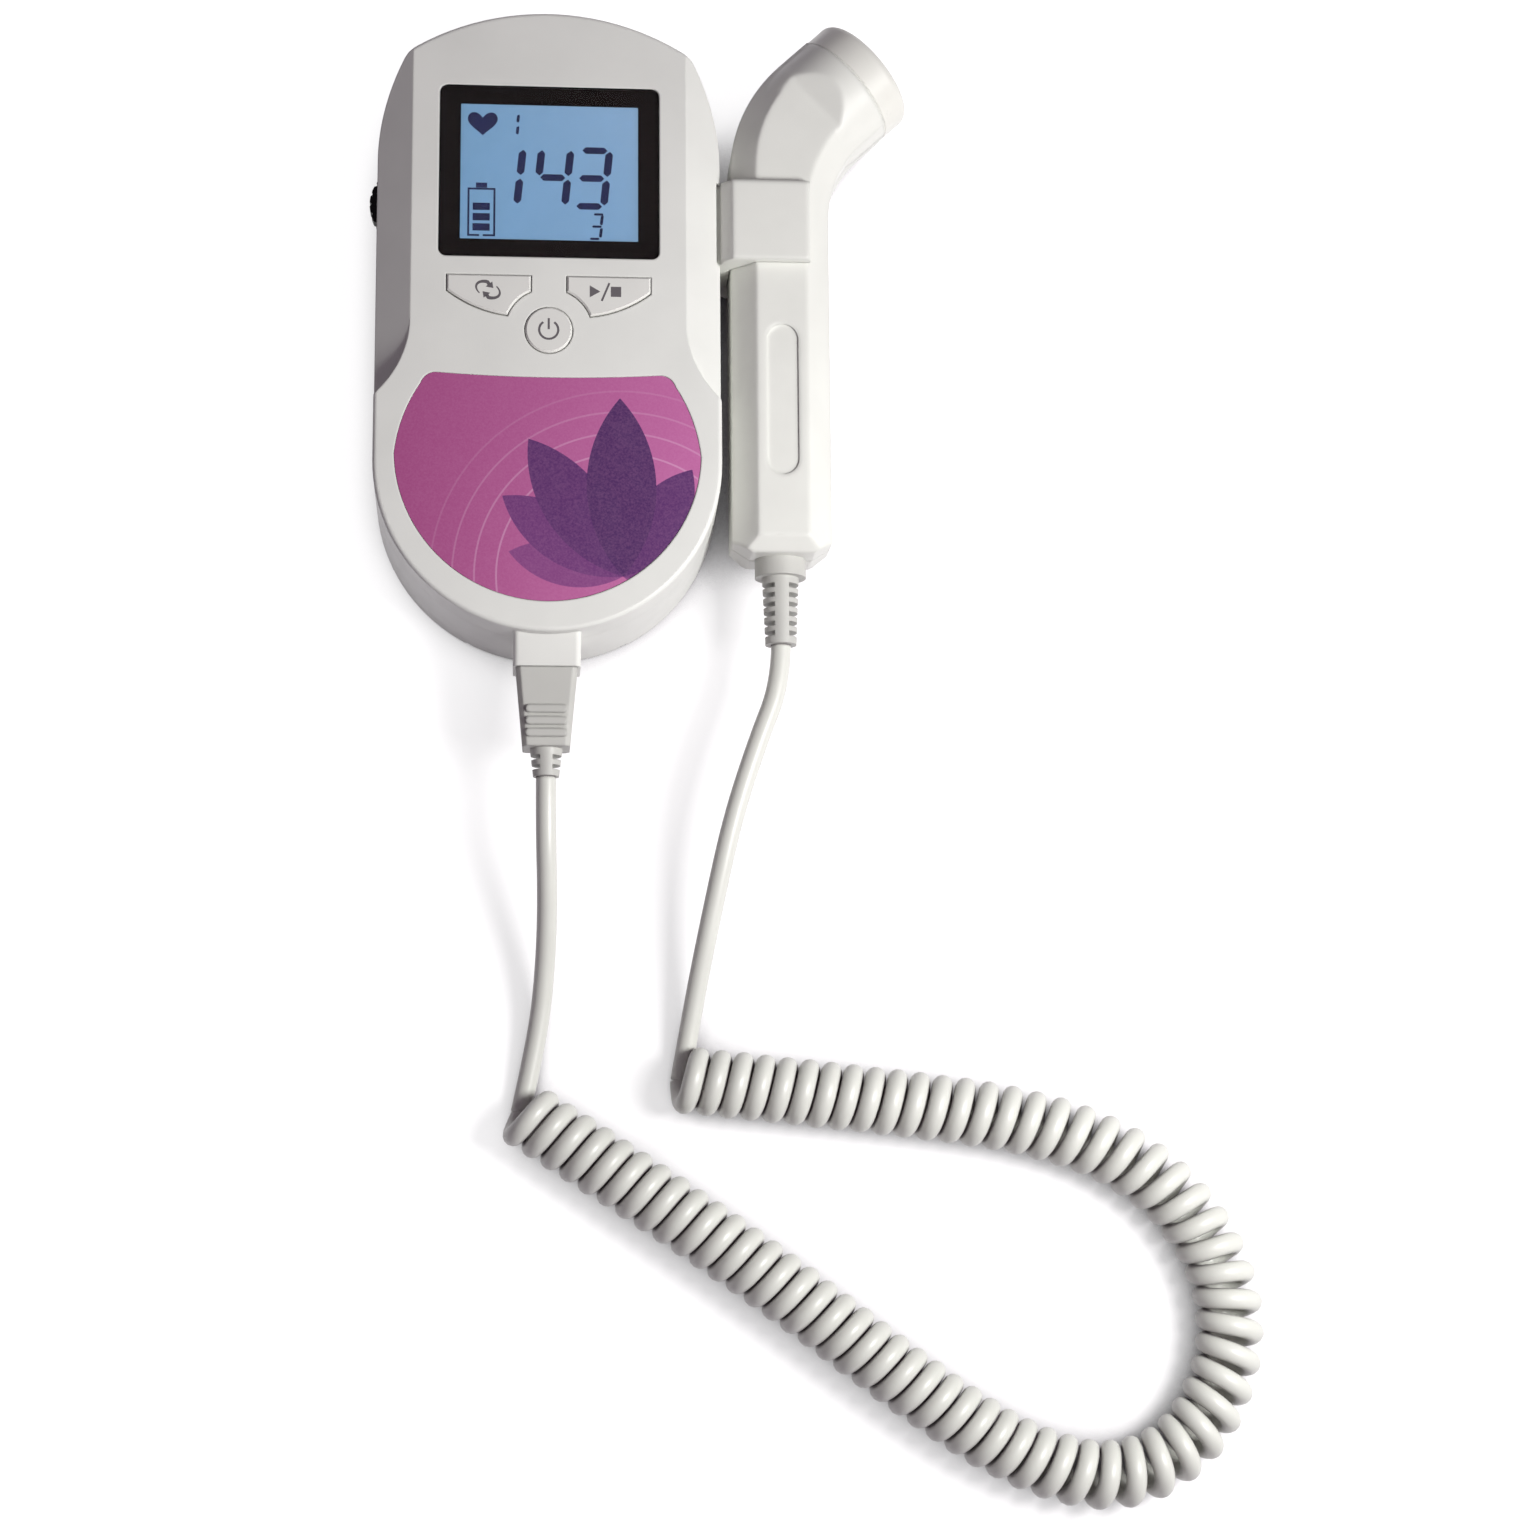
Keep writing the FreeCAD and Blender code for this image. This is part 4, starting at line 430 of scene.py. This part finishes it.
def coil_points():
    """Helix about the coil's centre line, left-handed, both ends at its underside."""
    line = read_line(COIL)
    turns = turns_along(arc_lengths(line))
    # The spline cuts inside its control polygon by the cosine of half a step.
    reach = COIL_R / math.cos(math.pi / COIL_STEPS)
    points = []
    segment = 0
    for k in range(COIL_TURNS * COIL_STEPS + 1):
        turn = k / COIL_STEPS
        while segment < len(turns) - 2 and turns[segment + 1] < turn:
            segment += 1
        part = (turn - turns[segment]) / (turns[segment + 1] - turns[segment])
        centre = line[segment].lerp(line[segment + 1], part)
        ahead = (line[segment + 1] - line[segment]).normalized()
        side = UP.cross(ahead)
        angle = -math.pi / 2 - math.tau * turn
        # No two turns are wound to quite the same width.
        width = reach * (1 + 0.012 * math.sin(turn * 2.7) * math.sin(turn * 0.9 + 0.4))
        points.append(centre + side * math.cos(angle) * width + UP * math.sin(angle) * reach)
    # The spline passes through its end points, so they keep the real radius.
    points[0].z += reach - COIL_R
    points[-1].z += reach - COIL_R
    return points


helix = coil_points()
coil = spline_curve("coiled_cord_jacket", helix, resolution=3)
coil.data.bevel_depth = COIL_CORD_R
coil.data.bevel_resolution = 5
coil.data.use_fill_caps = True
coil.data.materials.append(jacket.material)
helix_line = read_line(helix, resolution=4)

probe_line = read_line(PROBE_LEAD)
plug_line = read_line(PLUG_LEAD)
probe_lead = add_tube("probe_lead_jacket", probe_line, CORD_R)
plug_lead = add_tube("plug_lead_jacket", plug_line, CORD_R)
for lead in (probe_lead, plug_lead):
    lead.data.materials.append(jacket.material)

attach(coil, "monitor")
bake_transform(probe_lead)
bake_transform(plug_lead)
for piece, node in ((coil, "coiled_cord"), (probe_lead, "probe_lead"), (plug_lead, "plug_lead")):
    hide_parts(node)


# ---------------------------------------------------------------- screen, icons and printed panel

def add_form(name, form, finish):
    """Object made of a finished bmesh form."""
    mesh = bpy.data.meshes.new(name)
    form.to_mesh(mesh)
    form.free()
    mesh.materials.append(finish.material)
    return add_object(name, mesh)


def corners_at(form, outline, z):
    """New vertices of a flat outline in millimetres, at one height."""
    return [form.verts.new((x * MM, y * MM, z * MM)) for x, y in outline]


def add_prints(name, outlines, low_z, thickness, finish, body):
    """Thin closed prisms, one for each flat outline in millimetres, as one piece."""
    form = bmesh.new()
    for outline in outlines:
        face = form.faces.new(corners_at(form, outline, low_z))
        made = bmesh.ops.extrude_face_region(form, geom=[face])
        for vert in (v for v in made["geom"] if isinstance(v, bmesh.types.BMVert)):
            vert.co.z += thickness * MM
    bmesh.ops.recalc_face_normals(form, faces=form.faces)
    bmesh.ops.triangulate(form, faces=form.faces)
    obj = add_form(name, form, finish)
    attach(obj, body)


def ribbon(points, widths):
    """Outline of a stroke along points, with a width at each."""
    left, right = [], []
    for i, (x, y) in enumerate(points):
        ahead = Vector(points[min(i + 1, len(points) - 1)]) - Vector(points[max(i - 1, 0)])
        across = Vector((-ahead.y, ahead.x)).normalized() * widths[i] / 2
        left.append((x + across.x, y + across.y))
        right.append((x - across.x, y - across.y))
    return left + right[::-1]


def arc(centre, radius, start, end, steps):
    """Points on a circular arc between two directions, in degrees from +X."""
    points = []
    for k in range(steps + 1):
        a = math.radians(start + (end - start) * k / steps)
        points.append((centre[0] + radius * math.cos(a), centre[1] + radius * math.sin(a)))
    return points


def rectangle(low_x, low_y, high_x, high_y):
    return [(low_x, low_y), (high_x, low_y), (high_x, high_y), (low_x, high_y)]


def rounded(low_x, low_y, high_x, high_y, r, steps=8):
    """Rectangle with round corners."""
    outline = []
    corners = ((high_x - r, high_y - r, 0), (low_x + r, high_y - r, 90),
               (low_x + r, low_y + r, 180), (high_x - r, low_y + r, 270))
    for x, y, start in corners:
        outline += arc((x, y), r, start, start + 90, steps)
    return outline


pane_low, pane_high = node_box("screen_window")
lcd_low, lcd_high = node_box("lcd_panel")
WINDOW = (pane_low[0], pane_low[1], pane_high[0], pane_high[1])
WINDOW_CORNER_R = 1.6
# The printed border is open over the display, and the clear pane lies over the border.
BORDER_SIDE, BORDER_FOOT, BORDER_HEAD = 4.4, 4.1, 3.7
SIGHT = (WINDOW[0] + BORDER_SIDE, WINDOW[1] + BORDER_FOOT, WINDOW[2] - BORDER_SIDE, WINDOW[3] - BORDER_HEAD)
SIGHT_CORNER_R = 0.12
BORDER_THICKNESS = 0.33
PANE_LIFT = 0.35
PANE_BEVEL = 0.18
# The lit field lies on the display's glass, a little inside its edge, and the segments lie on the field.
PRINT_GAP = 0.01
FIELD_INSET_X, FIELD_INSET_Y = 2.1, 0.4
FIELD = (lcd_low[0] + FIELD_INSET_X, lcd_low[1] + FIELD_INSET_Y,
         lcd_high[0] - FIELD_INSET_X, lcd_high[1] - FIELD_INSET_Y)
FIELD_CORNER_R = 0.1
FIELD_THICKNESS = 0.05
SEGMENT_THICKNESS = 0.03


def add_slab(name, outline, opening, low_z, high_z, finish, bevel=0.0):
    """Plate between two heights, with an opening of the same point count where one is given."""
    form = bmesh.new()
    rims = []
    for z in (low_z, high_z):
        outer = corners_at(form, outline, z)
        inner = corners_at(form, opening, z) if opening else None
        rims.append((outer, inner))
    (low, low_in), (high, high_in) = rims
    for k in range(len(outline)):
        n = (k + 1) % len(outline)
        form.faces.new((low[k], low[n], high[n], high[k]))
        if opening:
            form.faces.new((low_in[n], low_in[k], high_in[k], high_in[n]))
            form.faces.new((high[k], high[n], high_in[n], high_in[k]))
            form.faces.new((low[n], low[k], low_in[k], low_in[n]))
    if not opening:
        form.faces.new(high)
        form.faces.new(low[::-1])
    if bevel:
        top = [edge for edge in form.edges if edge.verts[0] in high and edge.verts[1] in high]
        bmesh.ops.bevel(form, geom=top, offset=bevel * MM, segments=2, affect="EDGES", profile=0.5)
    return add_form(name, form, finish)


pane = Finish("screen_pane", (0.93, 0.95, 0.96, 1), 0.03, Transmission_Weight=1.0, IOR=1.1,
              Coat_Weight=0.1, Coat_Roughness=0.04)
pane.roughness(pane.span(pane.noise(700.0), 0.3, 0.7, 0.02, 0.05))
border_print = moulded("screen_border_print", srgb(19, 12, 12), 0.5, grain=0.000005, tint=0.3,
                       Specular_IOR_Level=0.0)


def lcd_finish():
    """Backlit display: blue field, a little lighter to the right and at the top, faint mottle."""
    finish = Finish("lcd_field", srgb(40, 62, 92), 0.4, Specular_IOR_Level=0.0)
    x, y, _ = finish.axes()
    across = finish.span(x, SIGHT[0] * MM, SIGHT[2] * MM)
    field = finish.mix(across, srgb(123, 161, 191), srgb(147, 176, 204))
    upward = finish.span(y, SIGHT[1] * MM, SIGHT[3] * MM)
    field = finish.mix(upward, finish.mix(0.5, field, srgb(124, 162, 193)), field)
    mottle = finish.span(finish.noise(420.0, 4.0, 0.6), 0.35, 0.65)
    glow = finish.mix(finish.math("MULTIPLY", mottle, 0.12), field, srgb(158, 190, 222))
    finish.link(glow, finish.shader.inputs["Emission Color"])
    finish.shader.inputs["Emission Strength"].default_value = 0.78
    return finish


lcd_glow = lcd_finish()
segment_print = moulded("lcd_segment", srgb(34, 36, 72), 0.5, grain=0.000004, tint=0.25,
                        Specular_IOR_Level=0.1)
icon_print = moulded("icon_print", srgb(104, 100, 103), 0.5, grain=0.000006, tint=0.12)

glass_low_z = pane_low[2] + PANE_LIFT
glass = add_slab("screen_glass", rounded(*WINDOW, WINDOW_CORNER_R), None, glass_low_z, pane_high[2], pane,
                 PANE_BEVEL)
border = add_slab("screen_border", rounded(*WINDOW, WINDOW_CORNER_R), rounded(*SIGHT, SIGHT_CORNER_R),
                  pane_low[2], pane_low[2] + BORDER_THICKNESS, border_print)
field_low_z = lcd_high[2] + PRINT_GAP
field_top_z = field_low_z + FIELD_THICKNESS
field = add_slab("lcd_display_field", rounded(*FIELD, FIELD_CORNER_R), None, field_low_z, field_top_z,
                 lcd_glow)
for piece, slot_name in ((glass, "screen_black"), (border, "screen_black"), (field, "lcd")):
    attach(piece, "monitor")
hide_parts("screen_window")

# The figures of the display lean by this much of their height, about the line of their middle bars.
LEAN = 0.1
MIDDLE_Y = 30.7
LARGE_UPRIGHT, LARGE_LEVEL = 1.62, 1.46
SMALL_UPRIGHT, SMALL_LEVEL = 0.62, 0.5


def upright(x, low_y, high_y, width, lean, point):
    """Slanted upright bar with pointed ends."""
    def at(y, shift):
        return (x + (y - MIDDLE_Y) * lean + shift, y)
    half = width / 2
    return [at(low_y, 0.1), at(low_y + point, half), at(high_y - point, half), at(high_y, 0.1),
            at(high_y - point, -half), at(low_y + point, -half)]


def level_bar(low_x, high_x, y, height, point):
    """Level bar with pointed ends."""
    half = height / 2
    return [(low_x, y), (low_x + point, y - half), (high_x - point, y - half), (high_x, y),
            (high_x - point, y + half), (low_x + point, y + half)]


def heart(x, y, width, height, steps=48):
    """Heart curve about a middle, scaled to a width and a height."""
    outline = []
    for k in range(steps):
        a = math.tau * k / steps
        across = math.sin(a) * abs(math.sin(a)) ** 1.3
        up = (13 * math.cos(a) - 5 * math.cos(2 * a) - 2 * math.cos(3 * a) - math.cos(4 * a)) / 29
        outline.append((x + across * width / 2, y + (up + 0.088) * height))
    return outline


def rate_marks():
    """The rate, 143: uprights in their lower and upper halves, then the level bars."""
    halves = ((24.75, 30.35), (31.1, 36.75))
    marks = []
    for x, shown in ((-6.2, halves), (-2.25, halves[1:]), (3.85, halves), (12.05, halves)):
        marks += [upright(x, low_y, high_y, LARGE_UPRIGHT, LEAN, 0.75) for low_y, high_y in shown]
    for low_x, high_x, y, point in ((-1.95, 3.35, MIDDLE_Y, 0.7), (6.9, 12.25, 36.9, 0.75),
                                    (6.25, 11.55, MIDDLE_Y, 0.7), (5.65, 11.1, 24.5, 0.75)):
        marks.append(level_bar(low_x, high_x, y, LARGE_LEVEL, point))
    return marks


def small_marks():
    """A small 1 beside the heart, and a small 3 under the rate."""
    marks = [upright(x, low_y, high_y, SMALL_UPRIGHT, LEAN, 0.3)
             for x, low_y, high_y in ((-7.95, 42.75, 44.6), (-7.8, 40.1, 42.0))]
    marks += [level_bar(8.9 + shift, 10.95 + shift, y, SMALL_LEVEL, 0.2)
              for y, shift in ((22.75, 0.45), (20.05, 0.1), (17.35, -0.35))]
    marks += [upright(x, low_y, high_y, SMALL_UPRIGHT, LEAN * 1.2, 0.25)
              for x, low_y, high_y in ((12.15, 20.35, 22.6), (12.3, 17.6, 19.8))]
    return marks


def gauge_marks():
    """Battery gauge: an outline with a gap at its foot, a terminal and three bars."""
    wall = 0.42
    low_x, high_x, low_y, high_y = -17.15, -11.3, 17.45, 28.1
    marks = [
        rectangle(low_x, high_y - wall, high_x, high_y),
        rectangle(low_x, low_y, low_x + wall, high_y - wall),
        rectangle(high_x - wall, low_y, high_x, high_y - wall),
        rectangle(low_x + wall, low_y, -14.65, low_y + wall),
        rectangle(-13.9, low_y, high_x - wall, low_y + wall),
        rectangle(-15.4, high_y + 0.05, -13.05, high_y + 1.15),
    ]
    return marks + [rectangle(-16.05, y, -12.45, y + 1.6) for y in (18.65, 20.9, 23.2)]


display = [heart(-14.1, 42.3, 6.3, 5.2)] + rate_marks() + small_marks() + gauge_marks()
add_prints("lcd_segments", display, field_top_z + PRINT_GAP, SEGMENT_THICKNESS, segment_print, "monitor")

ICON_THICKNESS = 0.02
MODE_CENTRE = (-12.65, 4.85)
POWER_CENTRE = (0, -3.6)


def chasing_arrow(centre, turn):
    """Half of a leaning two-arrow ring: a stroke that swells and ends in a head turned inward."""
    half_width, half_height = 2.6, 1.6
    spine = [(x * half_width, y * half_height) for x, y in arc((0, 0), 1.0, 240, 108, 20)]
    spine.append((-0.28, 1.18))
    last = len(spine) - 1
    widths = [0.24 + 0.52 * k / last for k in range(len(spine))]
    head = [(0.86, 0.78), (0.08, 1.98), (-0.72, 0.42)]
    lean = math.radians(turn - 24)
    c, s = math.cos(lean), math.sin(lean)
    return [[(centre[0] + x * c - y * s, centre[1] + x * s + y * c) for x, y in outline]
            for outline in (ribbon(spine, widths), head)]


def power_mark():
    """Open ring with an upright stroke in its gap."""
    ring = arc(POWER_CENTRE, 1.98, 125, 415, 40)
    return [ribbon(ring, [0.46] * len(ring)), rectangle(-0.22, -3.5, 0.22, -1.1)]


start_stop_mark = [
    [(8.5, 3.6), (10.7, 4.9), (8.5, 6.2)],
    ribbon([(11.0, 2.85), (12.6, 6.8)], [0.42, 0.42]),
    rectangle(12.9, 3.8, 15.05, 6.0),
]
for key, icon in (("mode_key", chasing_arrow(MODE_CENTRE, 0) + chasing_arrow(MODE_CENTRE, 180)),
                  ("start_stop_key", start_stop_mark), ("power_key", power_mark())):
    key_top_z = node_box(key)[1][2]
    add_prints(f"{key}_icon", icon, key_top_z, ICON_THICKNESS, icon_print, key)


# The panel's print: where the flower stands, its ripples as radius and strength, and its petals as
# direction in degrees, length, half width and tone, the ones behind first.
FLOWER_FOOT = (15.5, -56.0)
RIPPLES = ((26.0, 0.3), (30.5, 0.24), (35.0, 0.17), (39.5, 0.1))
PALE_PETAL, MIDDLE_PETAL, DARK_PETAL = srgb(132, 66, 128), srgb(108, 52, 116), srgb(88, 42, 104)
PETALS = (
    (168, 24, 4.6, PALE_PETAL), (12, 15, 4.0, PALE_PETAL), (146, 30, 5.6, MIDDLE_PETAL),
    (34, 19, 4.6, MIDDLE_PETAL), (124, 35, 6.4, DARK_PETAL), (58, 27, 5.6, DARK_PETAL),
    (91, 38, 7.2, srgb(74, 35, 94)),
)


def label_finish():
    """Rose panel with a spray of violet petals and pale ripples, printed under a satin film."""
    finish = Finish("label_print", srgb(176, 88, 146), 0.36, Coat_Weight=0.25, Coat_Roughness=0.3)
    flat = finish.vector_math("MULTIPLY", finish.coords, (1, 1, 0), "Vector")

    def distance(x, y):
        return finish.vector_math("DISTANCE", flat, (x * MM, y * MM, 0))

    def petal(base, angle, length, half_width):
        """1 inside the lens between two circles that meet at the petal's ends."""
        r = (length * length / 4 + half_width * half_width) / (2 * half_width)
        a = math.radians(angle)
        along, across = Vector((math.cos(a), math.sin(a))), Vector((-math.sin(a), math.cos(a)))
        middle = Vector(base) + along * length / 2
        sides = [distance(*(middle + across * (r - half_width) * side)) for side in (1, -1)]
        farther = finish.math("MAXIMUM", sides[0], sides[1])
        return finish.span(farther, (r - 0.05) * MM, (r + 0.05) * MM, 1.0, 0.0)

    def ripple(radius, strength):
        """Thin pale ring about the flower's foot."""
        off = finish.math("ABSOLUTE", finish.math("SUBTRACT", distance(*FLOWER_FOOT), radius * MM))
        return finish.math("MULTIPLY", finish.span(off, 0.12 * MM, 0.26 * MM, 1.0, 0.0), strength)

    x, y, _ = finish.axes()
    rose = finish.mix(finish.span(x, -32 * MM, 32 * MM), srgb(164, 74, 130), srgb(198, 112, 168))
    upward = finish.math("MULTIPLY", finish.span(y, -61 * MM, -20 * MM), 0.35)
    rose = finish.mix(upward, rose, srgb(172, 82, 140))
    for radius, strength in RIPPLES:
        rose = finish.mix(ripple(radius, strength), rose, srgb(238, 196, 226))
    for angle, length, half_width, tone in PETALS:
        rose = finish.mix(petal(FLOWER_FOOT, angle, length, half_width), rose, tone)
    speck = finish.noise(2600.0, 2.0, 0.6)
    rose = finish.mix(finish.span(speck, 0.35, 0.7, 0.0, 0.1), rose, srgb(228, 160, 206))
    finish.colour(rose)
    finish.roughness(finish.span(finish.noise(240.0, 4.0), 0.3, 0.7, 0.3, 0.44))
    finish.bump(speck, 0.00002, 0.5)
    return finish


assign(label_finish(), "label_panel")


# ---------------------------------------------------------------- stage

# The floor lies a hair under the object.
FLOOR_HALF = 4.0
FLOOR_DROP = 0.00005
# The lamp lights the floor under the object, so the floor's own glow grows away from there.
LIT_MIDDLE = (0.13, -0.115, 0)
GLOW_NEAR, GLOW_FAR = 0.68, 0.95
GLOW_SPAN = (0.125, 0.18)
# How far the two painted contact shades reach, and the floor's painted shade tone close to the object and
# its tone in the open.
CLOSE_SHADE, WIDE_SHADE = 0.012, 0.045
SHADE_SAMPLES = 10
PAINTED_CONTACT_SHADE = (0.06, 0.045, 0.06, 1)
FLOOR_TONE = (0.45, 0.44, 0.45, 1)
# What the floor throws back on the object, in two tones.
CAST_TONES = ((0.48, 0.455, 0.48, 1), (0.46, 0.435, 0.46, 1))

LAMP_PLACE = (0.272, -0.145, 0.333)
LAMP_AIM = (0.04, -0.065, 0)
LAMP_SIZE = 0.135
LAMP_POWER = 1.88
LAMP_COLOUR = (1.0, 1.0, 0.985)

# The fill: its level, how much stronger it is from the lamp's side, and its share in reflections.
ROOM_LIGHT = 0.128
FILL_FROM = (0.42, -0.72, 0.55)
FILL_SLOPE = 0.7
ROOM_GLOSS = 0.25
ROOM_TINT = (1.0, 0.84, 1.0, 1)

CAMERA_PLACE = Vector((-0.004, -0.1974, 0.6103))
CAMERA_AIM = Vector((0.04615, -0.0888, 0.0))
CAMERA_ROLL = -0.008
CAMERA_LENS = 68.5


def add_floor():
    """Large pale floor: white to the camera, with the object's soft shadow and a painted contact shade."""
    form = bmesh.new()
    bmesh.ops.create_grid(form, x_segments=8, y_segments=8, size=FLOOR_HALF)
    finish = Finish("studio_floor", (0.5, 0.5, 0.5, 1), 0.9, Specular_IOR_Level=0.0)
    floor = add_form("floor", form, finish)
    floor.location = (0, 0, -FLOOR_DROP)
    path = finish.tree.nodes.new("ShaderNodeLightPath")
    seen = finish.math("MAXIMUM", path.outputs["Is Camera Ray"], path.outputs["Is Glossy Ray"])
    seen = finish.math("MAXIMUM", seen, path.outputs["Is Transmission Ray"])
    # Painted contact shade: the floor's glow and colour darken close to the object.
    near = finish.openness(CLOSE_SHADE, 0.0, 0.8, SHADE_SAMPLES)
    lit = finish.math("MULTIPLY", finish.openness(WIDE_SHADE, 0.0, 0.5, SHADE_SAMPLES), near)
    away = finish.vector_math("DISTANCE", finish.coords, LIT_MIDDLE)
    level = finish.math("MULTIPLY", lit, finish.span(away, *GLOW_SPAN, GLOW_NEAR, GLOW_FAR, smooth=True))
    glow = finish.tree.nodes.new("ShaderNodeEmission")
    glow.inputs["Color"].default_value = WHITE
    finish.link(finish.math("MULTIPLY", seen, level), glow.inputs["Strength"])
    both = finish.tree.nodes.new("ShaderNodeAddShader")
    finish.link(finish.shader.outputs[0], both.inputs[0])
    finish.link(glow.outputs[0], both.inputs[1])
    finish.link(both.outputs[0], finish.output.inputs[0])
    cast = finish.mix(finish.noise(40.0), *CAST_TONES)
    finish.colour(finish.mix(near, PAINTED_CONTACT_SHADE, finish.mix(seen, cast, FLOOR_TONE)))


def add_lamp():
    """Soft square lamp on the right, above the object."""
    data = bpy.data.lights.new("key_light", "AREA")
    data.size = LAMP_SIZE
    data.energy = LAMP_POWER
    data.color = LAMP_COLOUR
    lamp = add_object("key_light", data)
    lamp.location = LAMP_PLACE
    lamp.rotation_mode = "QUATERNION"
    lamp.rotation_quaternion = (Vector(LAMP_AIM) - Vector(LAMP_PLACE)).to_track_quat("-Z", "Y")


def add_world():
    """White to the camera; to the object a dim fill that is stronger from the lamp's side."""
    world = bpy.data.worlds.new("studio")
    bpy.context.scene.world = world
    graph = Graph(world)
    direction = graph.tree.nodes.new("ShaderNodeTexCoord").outputs["Generated"]
    towards = graph.vector_math("DOT_PRODUCT", direction, FILL_FROM)
    fill = graph.math("MULTIPLY_ADD", towards, ROOM_LIGHT * FILL_SLOPE, ROOM_LIGHT)
    path = graph.tree.nodes.new("ShaderNodeLightPath")
    seen = graph.math("MAXIMUM", path.outputs["Is Camera Ray"], path.outputs["Is Transmission Ray"])
    gloss = graph.math("MULTIPLY", path.outputs["Is Glossy Ray"], ROOM_GLOSS)
    back = graph.tree.nodes["Background"]
    graph.link(graph.math("MAXIMUM", fill, graph.math("MAXIMUM", seen, gloss)), back.inputs["Strength"])
    graph.link(graph.mix(seen, ROOM_TINT, WHITE), back.inputs["Color"])


def add_camera():
    """Camera over the cord, tipped by about eleven degrees towards the unit."""
    ahead = (CAMERA_AIM - CAMERA_PLACE).normalized()
    up = Vector((0, 1, 0))
    up = (up - ahead * up.dot(ahead)).normalized()
    right = ahead.cross(up)
    c, s = math.cos(CAMERA_ROLL), math.sin(CAMERA_ROLL)
    right, up = right * c + up * s, up * c - right * s
    data = bpy.data.cameras.new("camera")
    data.lens = CAMERA_LENS
    data.sensor_width = 36.0
    data.clip_start, data.clip_end = 0.01, 20.0
    camera = add_object("camera", data)
    camera.matrix_world = Matrix((
        (right.x, up.x, -ahead.x, CAMERA_PLACE.x),
        (right.y, up.y, -ahead.y, CAMERA_PLACE.y),
        (right.z, up.z, -ahead.z, CAMERA_PLACE.z),
        (0, 0, 0, 1),
    ))
    bpy.context.scene.camera = camera


add_floor()
add_world()
add_lamp()
add_camera()
bpy.context.scene.view_settings.view_transform = "Standard"
